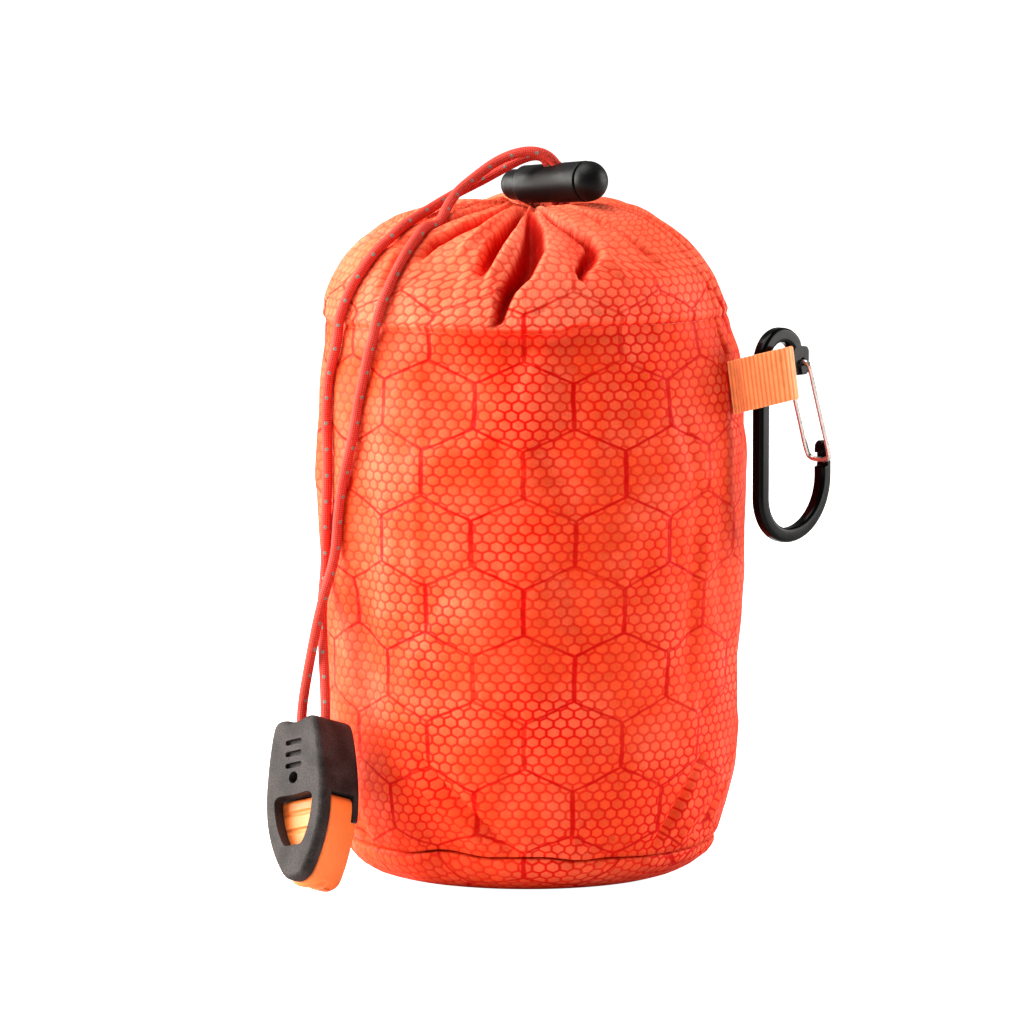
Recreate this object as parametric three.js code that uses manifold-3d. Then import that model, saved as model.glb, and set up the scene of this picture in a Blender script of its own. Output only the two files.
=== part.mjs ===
// Emergency sleeping bag packed in its drawstring sack, in millimetres, +Z up.
// The origin is the centre of the sack's base on the ground, and the front faces -Y.
import * as THREE from "three";
import { mergeVertices } from "three/addons/utils/BufferGeometryUtils.js";
import Module from "manifold-3d";

const wasm = await Module();
wasm.setup();

const radians = THREE.MathUtils.degToRad;

// Clear space between two pieces that touch
const GAP = 0.3;

// Sack wall: outline from the bottom seam to the gathered mouth, with the radius on each side
const WALL_ROWS = [
  { height: 9.1, left: 43.6, right: 43.4, front: 43.4, back: 43.6 },
  { height: 11.5, left: 45.5, right: 45.0, front: 45.3, back: 45.3 },
  { height: 17, left: 47.2, right: 46.8, front: 47.1, back: 47.0 },
  { height: 25, left: 48.2, right: 48.1, front: 48.3, back: 48.0 },
  { height: 36, left: 48.8, right: 49.0, front: 49.1, back: 48.7 },
  { height: 50, left: 49.4, right: 49.8, front: 49.8, back: 49.3 },
  { height: 65, left: 50.2, right: 50.4, front: 50.4, back: 50.2 },
  { height: 80, left: 51.2, right: 51.0, front: 51.0, back: 51.0 },
  { height: 95, left: 51.6, right: 51.5, front: 51.3, back: 51.4 },
  { height: 108, left: 51.4, right: 51.6, front: 51.0, back: 51.2 },
  { height: 118, left: 50.7, right: 50.8, front: 50.3, back: 50.5 },
  { height: 126, left: 49.9, right: 49.3, front: 49.4, back: 49.5 },
  { height: 133.4, left: 49.5, right: 47.0, front: 48.3, back: 48.2 },
  { height: 134.4, left: 49.6, right: 46.8, front: 49.0, back: 48.4 },
  { height: 139, left: 49.2, right: 44.8, front: 47.6, back: 46.9 },
  { height: 144, left: 47.2, right: 42.7, front: 45.6, back: 45.2 },
  { height: 148.5, left: 44.2, right: 39.8, front: 42.6, back: 42.3 },
  { height: 152, left: 40.9, right: 36.8, front: 39.2, back: 39.3 },
  { height: 155, left: 37.0, right: 32.9, front: 35.2, back: 35.3 },
  { height: 157.6, left: 31.5, right: 28.9, front: 30.2, back: 30.4 },
  { height: 159.5, left: 25.5, right: 25.0, front: 25.2, back: 25.2 },
  { height: 160.7, left: 19.0, right: 20.5, front: 20.0, back: 19.0 },
  { height: 160.8, left: 13.5, right: 16.5, front: 16.5, back: 13.5 },
  { height: 160.2, left: 8.5, right: 12.5, front: 12.5, back: 8.5 },
  { height: 159.6, left: 4.5, right: 8.5, front: 8.5, back: 4.5 },
];
const MOUTH_HEIGHT = 159.3;
const WALL_SEGMENTS = 120;

// Pleats that run down from the gathered mouth: where each starts and ends round the sack in
// degrees from the front, how far from the mouth it reaches, how late it swings from the one to
// the other, and its width and depth
const PLEATS = [
  { mouthAt: -2.5, footAt: -10, reach: 62, bend: 1.5, width: 10, depth: 4.8 },
  { mouthAt: -12, footAt: -18, reach: 50, bend: 1, width: 7.5, depth: 2.8 },
  { mouthAt: -22, footAt: -38, reach: 48, bend: 1, width: 8, depth: 2.2 },
  { mouthAt: -46, footAt: -51, reach: 54, bend: 1, width: 5.5, depth: 1.6 },
  { mouthAt: -52, footAt: -84, reach: 60, bend: 0.8, width: 7, depth: 2.2 },
  { mouthAt: 5, footAt: 22, reach: 50, bend: 1.2, width: 8, depth: 3.4 },
  { mouthAt: 28, footAt: 49, reach: 54, bend: 1, width: 5.5, depth: 1.5 },
  { mouthAt: 66, footAt: 70, reach: 74, bend: 1, width: 6, depth: 2.2 },
  { mouthAt: 84, footAt: 90, reach: 52, bend: 1, width: 6, depth: 1.6 },
  { mouthAt: 104, footAt: 109, reach: 44, bend: 1, width: 8, depth: 2.4 },
  { mouthAt: 131, footAt: 138, reach: 60, bend: 2, width: 8, depth: 3.8 },
  { mouthAt: 152, footAt: 155, reach: 40, bend: 1, width: 7, depth: 2.2 },
  { mouthAt: 171, footAt: 179, reach: 62, bend: 2.5, width: 8, depth: 4.6 },
  { mouthAt: 197, footAt: 190, reach: 42, bend: 1, width: 7, depth: 2.2 },
  { mouthAt: 226, footAt: 218, reach: 54, bend: 1.5, width: 9, depth: 3.4 },
  { mouthAt: 246, footAt: 240, reach: 44, bend: 1, width: 7, depth: 2 },
  { mouthAt: 268, footAt: 262, reach: 54, bend: 1, width: 7, depth: 2.2 },
];
const PLEAT_START = 5;
const RUFFLE = { lobes: 15, height: 0.35, from: 5, to: 18 };

// Soft creases of the filled body. A negative depth is a ridge.
const CREASES = [
  { topAt: -47, footAt: -50, top: 102, foot: 38, width: 14, depth: -1.3 },
  { topAt: -35.5, footAt: -37.5, top: 102, foot: 40, width: 11, depth: 1.4 },
  { topAt: -25, footAt: -12, top: 130, foot: 98, width: 26, depth: 1.7 },
  { topAt: 14, footAt: 6, top: 132, foot: 92, width: 20, depth: 1.3 },
  { topAt: -22, footAt: -8, top: 96, foot: 48, width: 24, depth: -0.9 },
  { topAt: 8, footAt: 10, top: 84, foot: 34, width: 20, depth: 1.2 },
  { topAt: 41, footAt: 50, top: 118, foot: 92, width: 8, depth: 1 },
  { topAt: 50, footAt: 47, top: 97, foot: 42, width: 9, depth: 1.2 },
  { topAt: 60, footAt: 62, top: 104, foot: 60, width: 8, depth: 0.8 },
  { topAt: -38, footAt: -8, top: 30, foot: 9.5, width: 8, depth: 1.9 },
  { topAt: -30, footAt: -18, top: 34, foot: 16, width: 7, depth: -0.7 },
  { topAt: 62, footAt: 44, top: 26, foot: 8.5, width: 8, depth: 1.8 },
  { topAt: 72, footAt: 55, top: 22, foot: 8.5, width: 6, depth: 1.2 },
  { topAt: -66, footAt: -60, top: 40, foot: 8, width: 9, depth: 0.9 },
  { topAt: 118, footAt: 110, top: 124, foot: 52, width: 16, depth: 1.4 },
  { topAt: 150, footAt: 163, top: 112, foot: 30, width: 22, depth: 1.5 },
  { topAt: 199, footAt: 188, top: 130, foot: 70, width: 18, depth: 1.3 },
  { topAt: 228, footAt: 236, top: 96, foot: 26, width: 20, depth: 1.4 },
  { topAt: 262, footAt: 252, top: 120, foot: 60, width: 14, depth: 0.9 },
  { topAt: 128, footAt: 142, top: 28, foot: 9, width: 9, depth: 1.2 },
  { topAt: 212, footAt: 198, top: 26, foot: 9, width: 9, depth: 1.2 },
];

// Bottom panel: outline from the ground up to the seam
const PANEL_ROWS = [
  { height: 0, left: 31.5, right: 29.5, front: 31, back: 30.5 },
  { height: 0.4, left: 35.2, right: 32.8, front: 34.2, back: 34 },
  { height: 1.4, left: 38.8, right: 36.3, front: 37.4, back: 37.4 },
  { height: 3.2, left: 41.7, right: 39.7, front: 40.6, back: 40.6 },
  { height: 5.6, left: 43.4, right: 42.3, front: 42.7, back: 42.7 },
  { height: 7.6, left: 43.8, right: 43.4, front: 43.5, back: 43.5 },
  { height: 8.8, left: 43.3, right: 43.1, front: 43.1, back: 43.2 },
];
const PANEL_SEGMENTS = 72;
// The seam rises and falls by this much on its way round
const SEAM_WAVES = [
  { turns: 2, height: 0.35, at: 40 },
  { turns: 5, height: 0.4, at: -20 },
];
const SEAM_FADE = 14;

// Webbing tab: ribbon folded in two round the carabiner's spine, seen from above
const TAB = { at: 68, rootRadius: 50.5, height: 117.9, width: 12.5, thick: 1.1, rise: 14.5, lean: -7.5 };
const TAB_PATH = [
  { out: 0.5, across: 0.65 },
  { out: 2, across: 0.65 },
  { out: 3.4, across: 1.4 },
  { out: 4.8, across: 3 },
  { out: 6.4, across: 3.6 },
  { out: 12, across: 3.5 },
  { out: 14.2, across: 2.8 },
  { out: 15.4, across: 1.5 },
];
const TAB_END = 15.9;
const TAB_STEPS = 36;

// Carabiner, in its own upright plane: along from the spine's axis to the gate, and height
const CLIP = { spineOut: 7.8, turn: 48, width: 3.5, thick: 3.2, chamfer: 0.65 };
const CLIP_TOP_ARC = { along: 6.6, height: 123.8, radius: 6.6, from: 180, to: 40 };
const CLIP_LOW_ARC = { along: 9.5, height: 92, radius: 9.5, from: 270, to: 180 };
const CLIP_GATE_ARC = { along: 9.5, height: 96.1, radius: 13.6, from: 360, to: 270 };
const NOSE_TOP = 104.2;
const NOTCH = { low: 98, high: 101.4, depth: 1.6 };
const LUG = { along: 12.9, height: 124, width: 5.6, tall: 6.8, corner: 1.6 };
const HINGE = { along: 13.5, height: 123.7, holeRadius: 1.05 };

// Wire gate, from its pin in the lug to the crossing in the nose's notch
const WIRE = { diameter: 1.3, legOffset: 3.4, pinEnd: 1, bend: 1.3, crossHeight: 99.9, notchGap: 0.38 };

// Cord lock: a tapered barrel with a domed end, and a plunger in its far end
const LOCK = { x: 5.8, y: -6.15, z: 165.9, turn: -46.2, tilt: 3.8 };
const BARREL = { back: 10.9, front: 10.6, backRadius: 4.5, frontRadius: 4.9, dome: 4.5 };
const BORE = { radius: 4, depth: 7 };
const PLUNGER = { radius: 3.7, inside: 4.2, outside: 3.4, dome: 3.1 };
const CORD_SLOT = { length: 6.2, width: 3.3, lean: 12 };

// Whistle: across its front, height from the housing's tip, and depth back from the front face
const WHISTLE = { x: -51.7, y: -45.5, z: 3.4, yaw: -42, lean: 22, depth: 13.3 };
const HOUSING_ROWS = [
  { height: 0, half: 1.2 },
  { height: 1.3, half: 3.3 },
  { height: 3.8, half: 5.1 },
  { height: 8.2, half: 7.3 },
  { height: 14, half: 9 },
  { height: 20, half: 9.5 },
  { height: 25.5, half: 9.2 },
  { height: 31.5, half: 8.4 },
  { height: 36, half: 7.5 },
  { height: 38.2, half: 6.6 },
  { height: 39, half: 5 },
  { height: 38.9, half: 3 },
  { height: 38.3, half: 1 },
];
const INSERT_ROWS = [
  { height: -0.9, half: 1.6 },
  { height: 0.2, half: 3.4 },
  { height: 3.2, half: 5 },
  { height: 8, half: 6.9 },
  { height: 14, half: 8.5 },
  { height: 20.2, half: 9 },
];
const WINDOW_ROWS = [
  { height: 8.4, half: 2.8 },
  { height: 13, half: 4.9 },
  { height: 17, half: 5.9 },
  { height: 20.4, half: 5.8 },
];
const HOUSING = { plate: 3, cap: 20.6, tongue: 2.3, tongueEnd: 14.5, bevel: 0.9 };
const CORD_HOLE = { across: 3.9, radius: 1.7, depth: 4.5 };
const SPOT = { height: 24.6, radius: 1.4, depth: 2 };
const GRIPS = { count: 3, first: 27.6, pitch: 2.8, half: 2.6, tall: 1.1, depth: 0.6 };
const LOBE_GROOVE = { radius: 1.3, depth: 7.6, height: -1.2 };

// The drawcord is 2.4 mm across and lies this far off the cloth, centre to surface
const CORD = { radius: 1.2, sides: 8, steps: 40, laid: 2.05, apart: 1.38, slotReach: 5.3 };
// Both legs rise out of the lock, bend over and cross the sack's left shoulder in the air
const LEG_A_FREE = [
  { x: 5.2, y: -8.1, z: 172 },
  { x: 2.2, y: -8.2, z: 173.5 },
  { x: -2, y: -7.9, z: 173.6 },
  { x: -8.4, y: -7.7, z: 171.2 },
  { x: -13.7, y: -9.7, z: 167.3 },
  { x: -18.8, y: -15.2, z: 163.1 },
];
const LEG_B_FREE = [
  { x: 3.9, y: -5.5, z: 172.5 },
  { x: 0.6, y: -5.2, z: 172.8 },
  { x: -5, y: -4.4, z: 170.3 },
  { x: -11, y: -4.8, z: 166.9 },
  { x: -17.5, y: -7.8, z: 163.8 },
];
// From there they lie on the cloth, which these points are laid against
const LEG_A_LAID = [
  { x: -23.3, y: -23.4, z: 158.2 },
  { x: -25.8, y: -27.5, z: 155 },
  { x: -28.2, y: -31, z: 151 },
  { x: -32.4, y: -34.6, z: 141.5 },
  { x: -35.6, y: -34, z: 133 },
  { x: -39.2, y: -31.4, z: 122 },
  { x: -41.9, y: -30, z: 109.4 },
  { x: -44.6, y: -26.5, z: 94.4 },
  { x: -46.3, y: -25.5, z: 80 },
];
const LEG_B_LAID = [
  { x: -24.2, y: -14, z: 160 },
  { x: -31.5, y: -22, z: 154.5 },
  { x: -38.5, y: -25, z: 147 },
  { x: -43, y: -24.5, z: 138.5 },
  { x: -46.2, y: -21.5, z: 128 },
  { x: -48.7, y: -19, z: 114 },
  { x: -49, y: -19.2, z: 101 },
  { x: -49.4, y: -18.6, z: 88 },
  { x: -49.6, y: -18.6, z: 76 },
];
// Below it they leave the cloth, cross and hang into the whistle's two holes
const LEG_A_LOW = [
  { x: -49.9, y: -26.2, z: 67 },
  { x: -52.2, y: -27.8, z: 56 },
];
const LEG_B_LOW = [
  { x: -49.9, y: -20.8, z: 66 },
  { x: -49.4, y: -26.4, z: 55 },
];

// Turns a BufferGeometry into a solid that can be joined and cut
function toSolid(geometry) {
  const bare = geometry.clone();
  bare.deleteAttribute("normal");
  bare.deleteAttribute("uv");
  const merged = mergeVertices(bare, 1e-4);
  const corners = merged.index.array;
  const kept = [];
  for (let i = 0; i < corners.length; i += 3) {
    const [a, b, c] = [corners[i], corners[i + 1], corners[i + 2]];
    if (a !== b && b !== c && c !== a) {
      kept.push(a, b, c);
    }
  }
  const vertProperties = new Float32Array(merged.attributes.position.array);
  const triVerts = new Uint32Array(kept);
  return new wasm.Manifold(new wasm.Mesh({ numProp: 3, vertProperties, triVerts }));
}

// Turns a solid back into a BufferGeometry
function toGeometry(solid) {
  const result = solid.getMesh();
  const geometry = new THREE.BufferGeometry();
  geometry.setAttribute("position", new THREE.BufferAttribute(result.vertProperties, 3));
  geometry.setIndex(new THREE.BufferAttribute(result.triVerts, 1));
  geometry.computeVertexNormals();
  return geometry;
}

// One named mesh with a plain finish of its own
function piece(name, geometry, color, roughness, metalness = 0) {
  const material = new THREE.MeshStandardMaterial({ color, roughness, metalness });
  const mesh = new THREE.Mesh(geometry, material);
  mesh.name = name;
  return mesh;
}

// Radius of an uneven ring at an angle from the front
function sideRadius(row, angle) {
  const across = Math.sin(angle);
  const along = Math.cos(angle);
  const wide = ((row.left + row.right) / 2) * across ** 2;
  const deep = ((row.front + row.back) / 2) * along ** 2;
  return wide + deep + ((row.right - row.left) / 2) * across + ((row.front - row.back) / 2) * along;
}

function meanRadius(row) {
  return (row.left + row.right + row.front + row.back) / 4;
}

// Rounded trough across a fold: one in the middle, nothing past half its width
function trough(distance, width) {
  const share = Math.abs(distance) / (width / 2);
  return share < 1 ? (1 + Math.cos(Math.PI * share)) / 2 : 0;
}

// Signed angle in degrees between two headings
function apart(a, b) {
  return ((((a - b) % 360) + 540) % 360) - 180;
}

function seamLift(angle) {
  const lifts = SEAM_WAVES.map((wave) => wave.height * Math.cos(wave.turns * angle + radians(wave.at)));
  return lifts.reduce((sum, lift) => sum + lift, 0);
}

// Distance from the mouth along the cloth, one for each row of the wall
function mouthDistances(rows) {
  const distances = new Array(rows.length).fill(0);
  distances[rows.length - 1] = meanRadius(rows[rows.length - 1]);
  for (let i = rows.length - 2; i >= 0; i -= 1) {
    const step = Math.hypot(
      meanRadius(rows[i]) - meanRadius(rows[i + 1]),
      rows[i].height - rows[i + 1].height,
    );
    distances[i] = distances[i + 1] + step;
  }
  return distances;
}

// How far the cloth sinks at one place, from its pleats, its ruffle and its creases
function clothDepth(degrees, radius, height, mouthDistance) {
  let depth = 0;
  for (const pleat of PLEATS) {
    const share = (mouthDistance - PLEAT_START) / (pleat.reach - PLEAT_START);
    if (share > 0 && share < 1) {
      const at = THREE.MathUtils.lerp(pleat.mouthAt, pleat.footAt, share ** pleat.bend);
      const width = pleat.width * (0.3 + 0.7 * Math.sin(Math.PI * share));
      const strength = Math.sin(Math.PI * share);
      depth += pleat.depth * strength * trough(radians(apart(degrees, at)) * radius, width);
    }
  }
  if (mouthDistance > RUFFLE.from && mouthDistance < RUFFLE.to) {
    const share = (mouthDistance - RUFFLE.from) / (RUFFLE.to - RUFFLE.from);
    const wave = Math.cos(RUFFLE.lobes * radians(degrees));
    depth -= RUFFLE.height * Math.sin(Math.PI * share) * wave;
  }
  for (const crease of CREASES) {
    const share = (height - crease.foot) / (crease.top - crease.foot);
    if (share > 0 && share < 1) {
      const at = THREE.MathUtils.lerp(crease.footAt, crease.topAt, share);
      const strength = Math.sin(Math.PI * share) ** 0.6;
      depth += crease.depth * strength * trough(radians(apart(degrees, at)) * radius, crease.width);
    }
  }
  return depth;
}

// Splits the left half's faces along their other diagonal, because its pleats slant the other way
function mirrorDiagonals(geometry) {
  const corners = geometry.index.array;
  for (let i = corners.length / 2; i < corners.length; i += 6) {
    const [a, b, d, c] = corners.slice(i, i + 4);
    corners.set([a, b, c, c, d, a], i);
  }
}

// Turned shape with a row of vertices for each outline row, closed on the axis at both ends.
// place(row number, angle) gives the radius and height of a vertex.
function turnedCloth(rows, lowAxis, highAxis, segments, place) {
  const outline = rows.map((row) => new THREE.Vector2(meanRadius(row), row.height));
  outline.unshift(new THREE.Vector2(0, lowAxis));
  outline.push(new THREE.Vector2(0, highAxis));
  const geometry = new THREE.LatheGeometry(outline, segments);
  const position = geometry.attributes.position;
  for (let i = 0; i < position.count; i += 1) {
    const row = (i % outline.length) - 1;
    if (row >= 0 && row < rows.length) {
      const angle = (Math.floor(i / outline.length) % segments) * ((2 * Math.PI) / segments);
      const [radius, height] = place(row, angle);
      position.setXYZ(i, radius * Math.sin(angle), height, radius * Math.cos(angle));
    }
  }
  mirrorDiagonals(geometry);
  geometry.rotateX(Math.PI / 2);
  return geometry;
}

function buildWall() {
  const distances = mouthDistances(WALL_ROWS);
  const place = (index, angle) => {
    const row = WALL_ROWS[index];
    const below = WALL_ROWS[Math.max(index - 1, 0)];
    const above = WALL_ROWS[Math.min(index + 1, WALL_ROWS.length - 1)];
    const slope = new THREE.Vector2(
      meanRadius(above) - meanRadius(below),
      above.height - below.height,
    ).normalize();
    const radius = sideRadius(row, angle);
    const degrees = THREE.MathUtils.radToDeg(angle);
    const depth = index === 0 ? 0 : clothDepth(degrees, radius, row.height, distances[index]);
    const fade = Math.max(0, 1 - (row.height - WALL_ROWS[0].height) / SEAM_FADE);
    const height = row.height + seamLift(angle) * fade;
    return [radius - slope.y * depth, height + slope.x * depth];
  };
  const floor = WALL_ROWS[0].height;
  return turnedCloth(WALL_ROWS, floor, MOUTH_HEIGHT, WALL_SEGMENTS, place);
}

function buildPanel() {
  const top = PANEL_ROWS[PANEL_ROWS.length - 1].height;
  const place = (index, angle) => {
    const row = PANEL_ROWS[index];
    return [sideRadius(row, angle), row.height + seamLift(angle) * (row.height / top) ** 2];
  };
  return turnedCloth(PANEL_ROWS, 0, top, PANEL_SEGMENTS, place);
}

// Flat ribbon folded in two, drawn from above and raised to its width, climbing outwards
function buildTab() {
  const side = TAB_PATH.map((step) => new THREE.Vector2(step.out, -step.across));
  const back = [...TAB_PATH].reverse().map((step) => new THREE.Vector2(step.out, step.across));
  const curve = new THREE.SplineCurve([...side, new THREE.Vector2(TAB_END, 0), ...back]);
  const outer = [];
  const inner = [];
  for (let i = 0; i <= TAB_STEPS; i += 1) {
    const share = i / TAB_STEPS;
    const point = curve.getPointAt(share);
    const tangent = curve.getTangentAt(share);
    const sideways = new THREE.Vector2(tangent.y, -tangent.x).multiplyScalar(TAB.thick / 2);
    outer.push(point.clone().add(sideways));
    inner.unshift(point.clone().sub(sideways));
  }
  const shape = new THREE.Shape([...outer, ...inner]);
  const geometry = new THREE.ExtrudeGeometry(shape, { depth: TAB.width, bevelEnabled: false });
  geometry.translate(0, 0, -TAB.width / 2);
  const [climb, lean] = [Math.tan(radians(TAB.rise)), Math.tan(radians(TAB.lean))];
  return geometry.applyMatrix4(new THREE.Matrix4().makeShear(0, climb, 0, 0, lean, 0));
}

// Points round an arc of the carabiner's outline
function arcPoints(arc, steps) {
  const points = [];
  for (let i = 0; i <= steps; i += 1) {
    const angle = radians(THREE.MathUtils.lerp(arc.from, arc.to, i / steps));
    const along = arc.along + arc.radius * Math.cos(angle);
    points.push(new THREE.Vector3(along, 0, arc.height + arc.radius * Math.sin(angle)));
  }
  return points;
}

// Bar with the same cut-cornered section all along a path in the upright plane
function sweptBar(path, halfWidth, halfThick, chamfer) {
  const section = [
    [halfWidth, halfThick - chamfer], [halfWidth - chamfer, halfThick],
    [chamfer - halfWidth, halfThick], [-halfWidth, halfThick - chamfer],
    [-halfWidth, chamfer - halfThick], [chamfer - halfWidth, -halfThick],
    [halfWidth - chamfer, -halfThick], [halfWidth, chamfer - halfThick],
  ];
  const sides = section.length;
  const vertices = [];
  const corners = [];
  path.forEach((point, i) => {
    const before = path[Math.max(i - 1, 0)];
    const after = path[Math.min(i + 1, path.length - 1)];
    const along = new THREE.Vector3().subVectors(after, before).normalize();
    const outward = new THREE.Vector3(along.z, 0, -along.x);
    for (const [wide, thick] of section) {
      vertices.push(point.x + outward.x * wide, thick, point.z + outward.z * wide);
    }
    if (i > 0) {
      for (let k = 0; k < sides; k += 1) {
        const next = (k + 1) % sides;
        const low = (i - 1) * sides;
        const high = i * sides;
        corners.push(low + k, low + next, high + k, low + next, high + next, high + k);
      }
    }
  });
  const last = (path.length - 1) * sides;
  for (let k = 1; k < sides - 1; k += 1) {
    corners.push(0, k + 1, k, last, last + k, last + k + 1);
  }
  const geometry = new THREE.BufferGeometry();
  geometry.setAttribute("position", new THREE.Float32BufferAttribute(vertices, 3));
  geometry.setIndex(corners);
  return geometry;
}

// Rod that lies along Y, through the carabiner's plane or the whistle's depth
function crossRod(x, z, radius, length, sides = 16) {
  return new THREE.CylinderGeometry(radius, radius, length, sides).translate(x, 0, z);
}

function buildClipBody() {
  const gateArc = arcPoints(CLIP_GATE_ARC, 9);
  const nose = new THREE.Vector3(gateArc[0].x, 0, NOSE_TOP);
  const lowArc = arcPoints(CLIP_LOW_ARC, 8);
  const topArc = arcPoints(CLIP_TOP_ARC, 9);
  const path = [nose, ...gateArc, ...lowArc.slice(1), ...topArc];
  path.push(new THREE.Vector3(LUG.along, 0, LUG.height));
  const bar = toSolid(sweptBar(path, CLIP.width / 2, CLIP.thick / 2, CLIP.chamfer));
  const outline = new THREE.Shape();
  const [halfWide, halfTall, round] = [LUG.width / 2, LUG.tall / 2, LUG.corner];
  outline.moveTo(halfWide - round, -halfTall);
  outline.absarc(halfWide - round, round - halfTall, round, -Math.PI / 2, 0);
  outline.absarc(halfWide - round, halfTall - round, round, 0, Math.PI / 2);
  outline.absarc(round - halfWide, halfTall - round, round, Math.PI / 2, Math.PI);
  outline.absarc(round - halfWide, round - halfTall, round, Math.PI, 1.5 * Math.PI);
  const options = { depth: CLIP.thick + 0.2, bevelEnabled: false, curveSegments: 4 };
  const lug = new THREE.ExtrudeGeometry(outline, options);
  lug.rotateX(Math.PI / 2).translate(LUG.along, (CLIP.thick + 0.2) / 2, LUG.height);
  const hole = crossRod(HINGE.along, HINGE.height, HINGE.holeRadius, 3 * CLIP.thick);
  const innerFace = nose.x - CLIP.width / 2;
  const notch = new THREE.BoxGeometry(2 * NOTCH.depth, 2 * CLIP.thick, NOTCH.high - NOTCH.low);
  notch.translate(innerFace, 0, (NOTCH.high + NOTCH.low) / 2);
  return toGeometry(bar.add(toSolid(lug)).subtract(toSolid(hole)).subtract(toSolid(notch)));
}

// Closed tube along a curve, with a round section of few sides
function tube(curve, radius, sides, steps) {
  const section = new THREE.Shape();
  for (let k = 0; k < sides; k += 1) {
    const angle = (2 * Math.PI * k) / sides;
    const corner = [radius * Math.cos(angle), radius * Math.sin(angle)];
    if (k === 0) {
      section.moveTo(...corner);
    } else {
      section.lineTo(...corner);
    }
  }
  return new THREE.ExtrudeGeometry(section, { steps, extrudePath: curve, bevelEnabled: false });
}

function buildGateWire() {
  const notchFloor = CLIP_GATE_ARC.along + CLIP_GATE_ARC.radius - CLIP.width / 2 + NOTCH.depth;
  const cross = { along: notchFloor - WIRE.notchGap - WIRE.diameter / 2, height: WIRE.crossHeight };
  const point = (share, out, lift = 0) => new THREE.Vector3(
    THREE.MathUtils.lerp(HINGE.along, cross.along, share),
    out,
    THREE.MathUtils.lerp(HINGE.height, cross.height, share) + lift,
  );
  const near = [
    point(0, -WIRE.pinEnd),
    point(0, WIRE.bend - WIRE.legOffset),
    point(0.02, -WIRE.legOffset + 0.3),
    point(0.07, -WIRE.legOffset),
    point(0.35, -WIRE.legOffset),
    point(0.65, -WIRE.legOffset),
    point(0.91, -WIRE.legOffset),
    point(0.975, -WIRE.legOffset + 0.35),
    point(1, WIRE.bend - WIRE.legOffset),
  ];
  const far = [...near].reverse().map((p) => new THREE.Vector3(p.x, -p.y, p.z));
  const curve = new THREE.CatmullRomCurve3([...near, ...far], false, "centripetal");
  return tube(curve, WIRE.diameter / 2, 8, 44);
}

// Turned shape about +X from rows of distance along X and radius
function turnedAlongX(rows, segments) {
  const outline = rows.map(([along, radius]) => new THREE.Vector2(radius, along));
  return new THREE.LatheGeometry(outline, segments).rotateZ(-Math.PI / 2);
}

// Rows of a dome that starts at a radius and closes on the axis
function domeRows(start, radius, length, steps) {
  const rows = [];
  for (let i = 1; i <= steps; i += 1) {
    const angle = (Math.PI / 2) * (i / steps);
    rows.push([start + length * Math.sin(angle), i === steps ? 0 : radius * Math.cos(angle)]);
  }
  return rows;
}

// Upright rod with flat sides and round ends, for the slot that both cords pass through
function slotCutter() {
  const outline = new THREE.Shape();
  const [straight, round] = [(CORD_SLOT.length - CORD_SLOT.width) / 2, CORD_SLOT.width / 2];
  outline.moveTo(-straight, -round);
  outline.absarc(straight, 0, round, -Math.PI / 2, Math.PI / 2);
  outline.absarc(-straight, 0, round, Math.PI / 2, 1.5 * Math.PI);
  const length = 4 * BARREL.frontRadius;
  const cutter = new THREE.ExtrudeGeometry(outline, { depth: length, bevelEnabled: false, curveSegments: 8 });
  return cutter.translate(0, 0, -length / 2).rotateX(radians(CORD_SLOT.lean));
}

function buildBarrel() {
  const rows = [
    [BORE.depth - BARREL.back, 0],
    [BORE.depth - BARREL.back, BORE.radius],
    [-BARREL.back, BORE.radius],
    [-BARREL.back, BARREL.backRadius - 0.2],
    [-BARREL.back + 0.4, BARREL.backRadius],
    [BARREL.front - 0.6, BARREL.frontRadius],
    [BARREL.front, BARREL.frontRadius - 0.35],
    [BARREL.front + 0.3, BARREL.frontRadius - 0.1],
    ...domeRows(BARREL.front + 0.3, BARREL.frontRadius - 0.1, BARREL.dome, 5),
  ];
  return toGeometry(toSolid(turnedAlongX(rows, 28)).subtract(toSolid(slotCutter())));
}

function buildPlunger() {
  const rows = [
    [-BARREL.back - PLUNGER.outside - PLUNGER.dome, 0],
    ...domeRows(0, PLUNGER.radius, PLUNGER.dome, 4).slice(0, -1).reverse()
      .map(([out, radius]) => [-BARREL.back - PLUNGER.outside - out, radius]),
    [-BARREL.back - PLUNGER.outside, PLUNGER.radius],
    [PLUNGER.inside - BARREL.back, PLUNGER.radius],
    [PLUNGER.inside - BARREL.back, 0],
  ];
  return turnedAlongX(rows, 24);
}

// Closed outline that is the same on both sides, from rows of height and half width
function mirroredShape(rows) {
  const right = rows.map((row) => new THREE.Vector2(row.half, row.height));
  const left = [...rows].reverse().map((row) => new THREE.Vector2(-row.half, row.height));
  return new THREE.Shape([...right, ...left]);
}

// Upright plate of an outline, with bevelled edges, from one depth to another
function bevelledPlate(rows, front, back, bevel) {
  const geometry = new THREE.ExtrudeGeometry(mirroredShape(rows), {
    depth: back - front - 2 * bevel,
    bevelEnabled: bevel > 0,
    bevelSize: bevel,
    bevelThickness: bevel,
    bevelOffset: -bevel,
    bevelSegments: 2,
  });
  return geometry.rotateX(Math.PI / 2).translate(0, back - bevel, 0);
}

function box(x, y, z) {
  const size = [x[1] - x[0], y[1] - y[0], z[1] - z[0]];
  const middle = [(x[0] + x[1]) / 2, (y[0] + y[1]) / 2, (z[0] + z[1]) / 2];
  return toSolid(new THREE.BoxGeometry(...size).translate(...middle));
}

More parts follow.
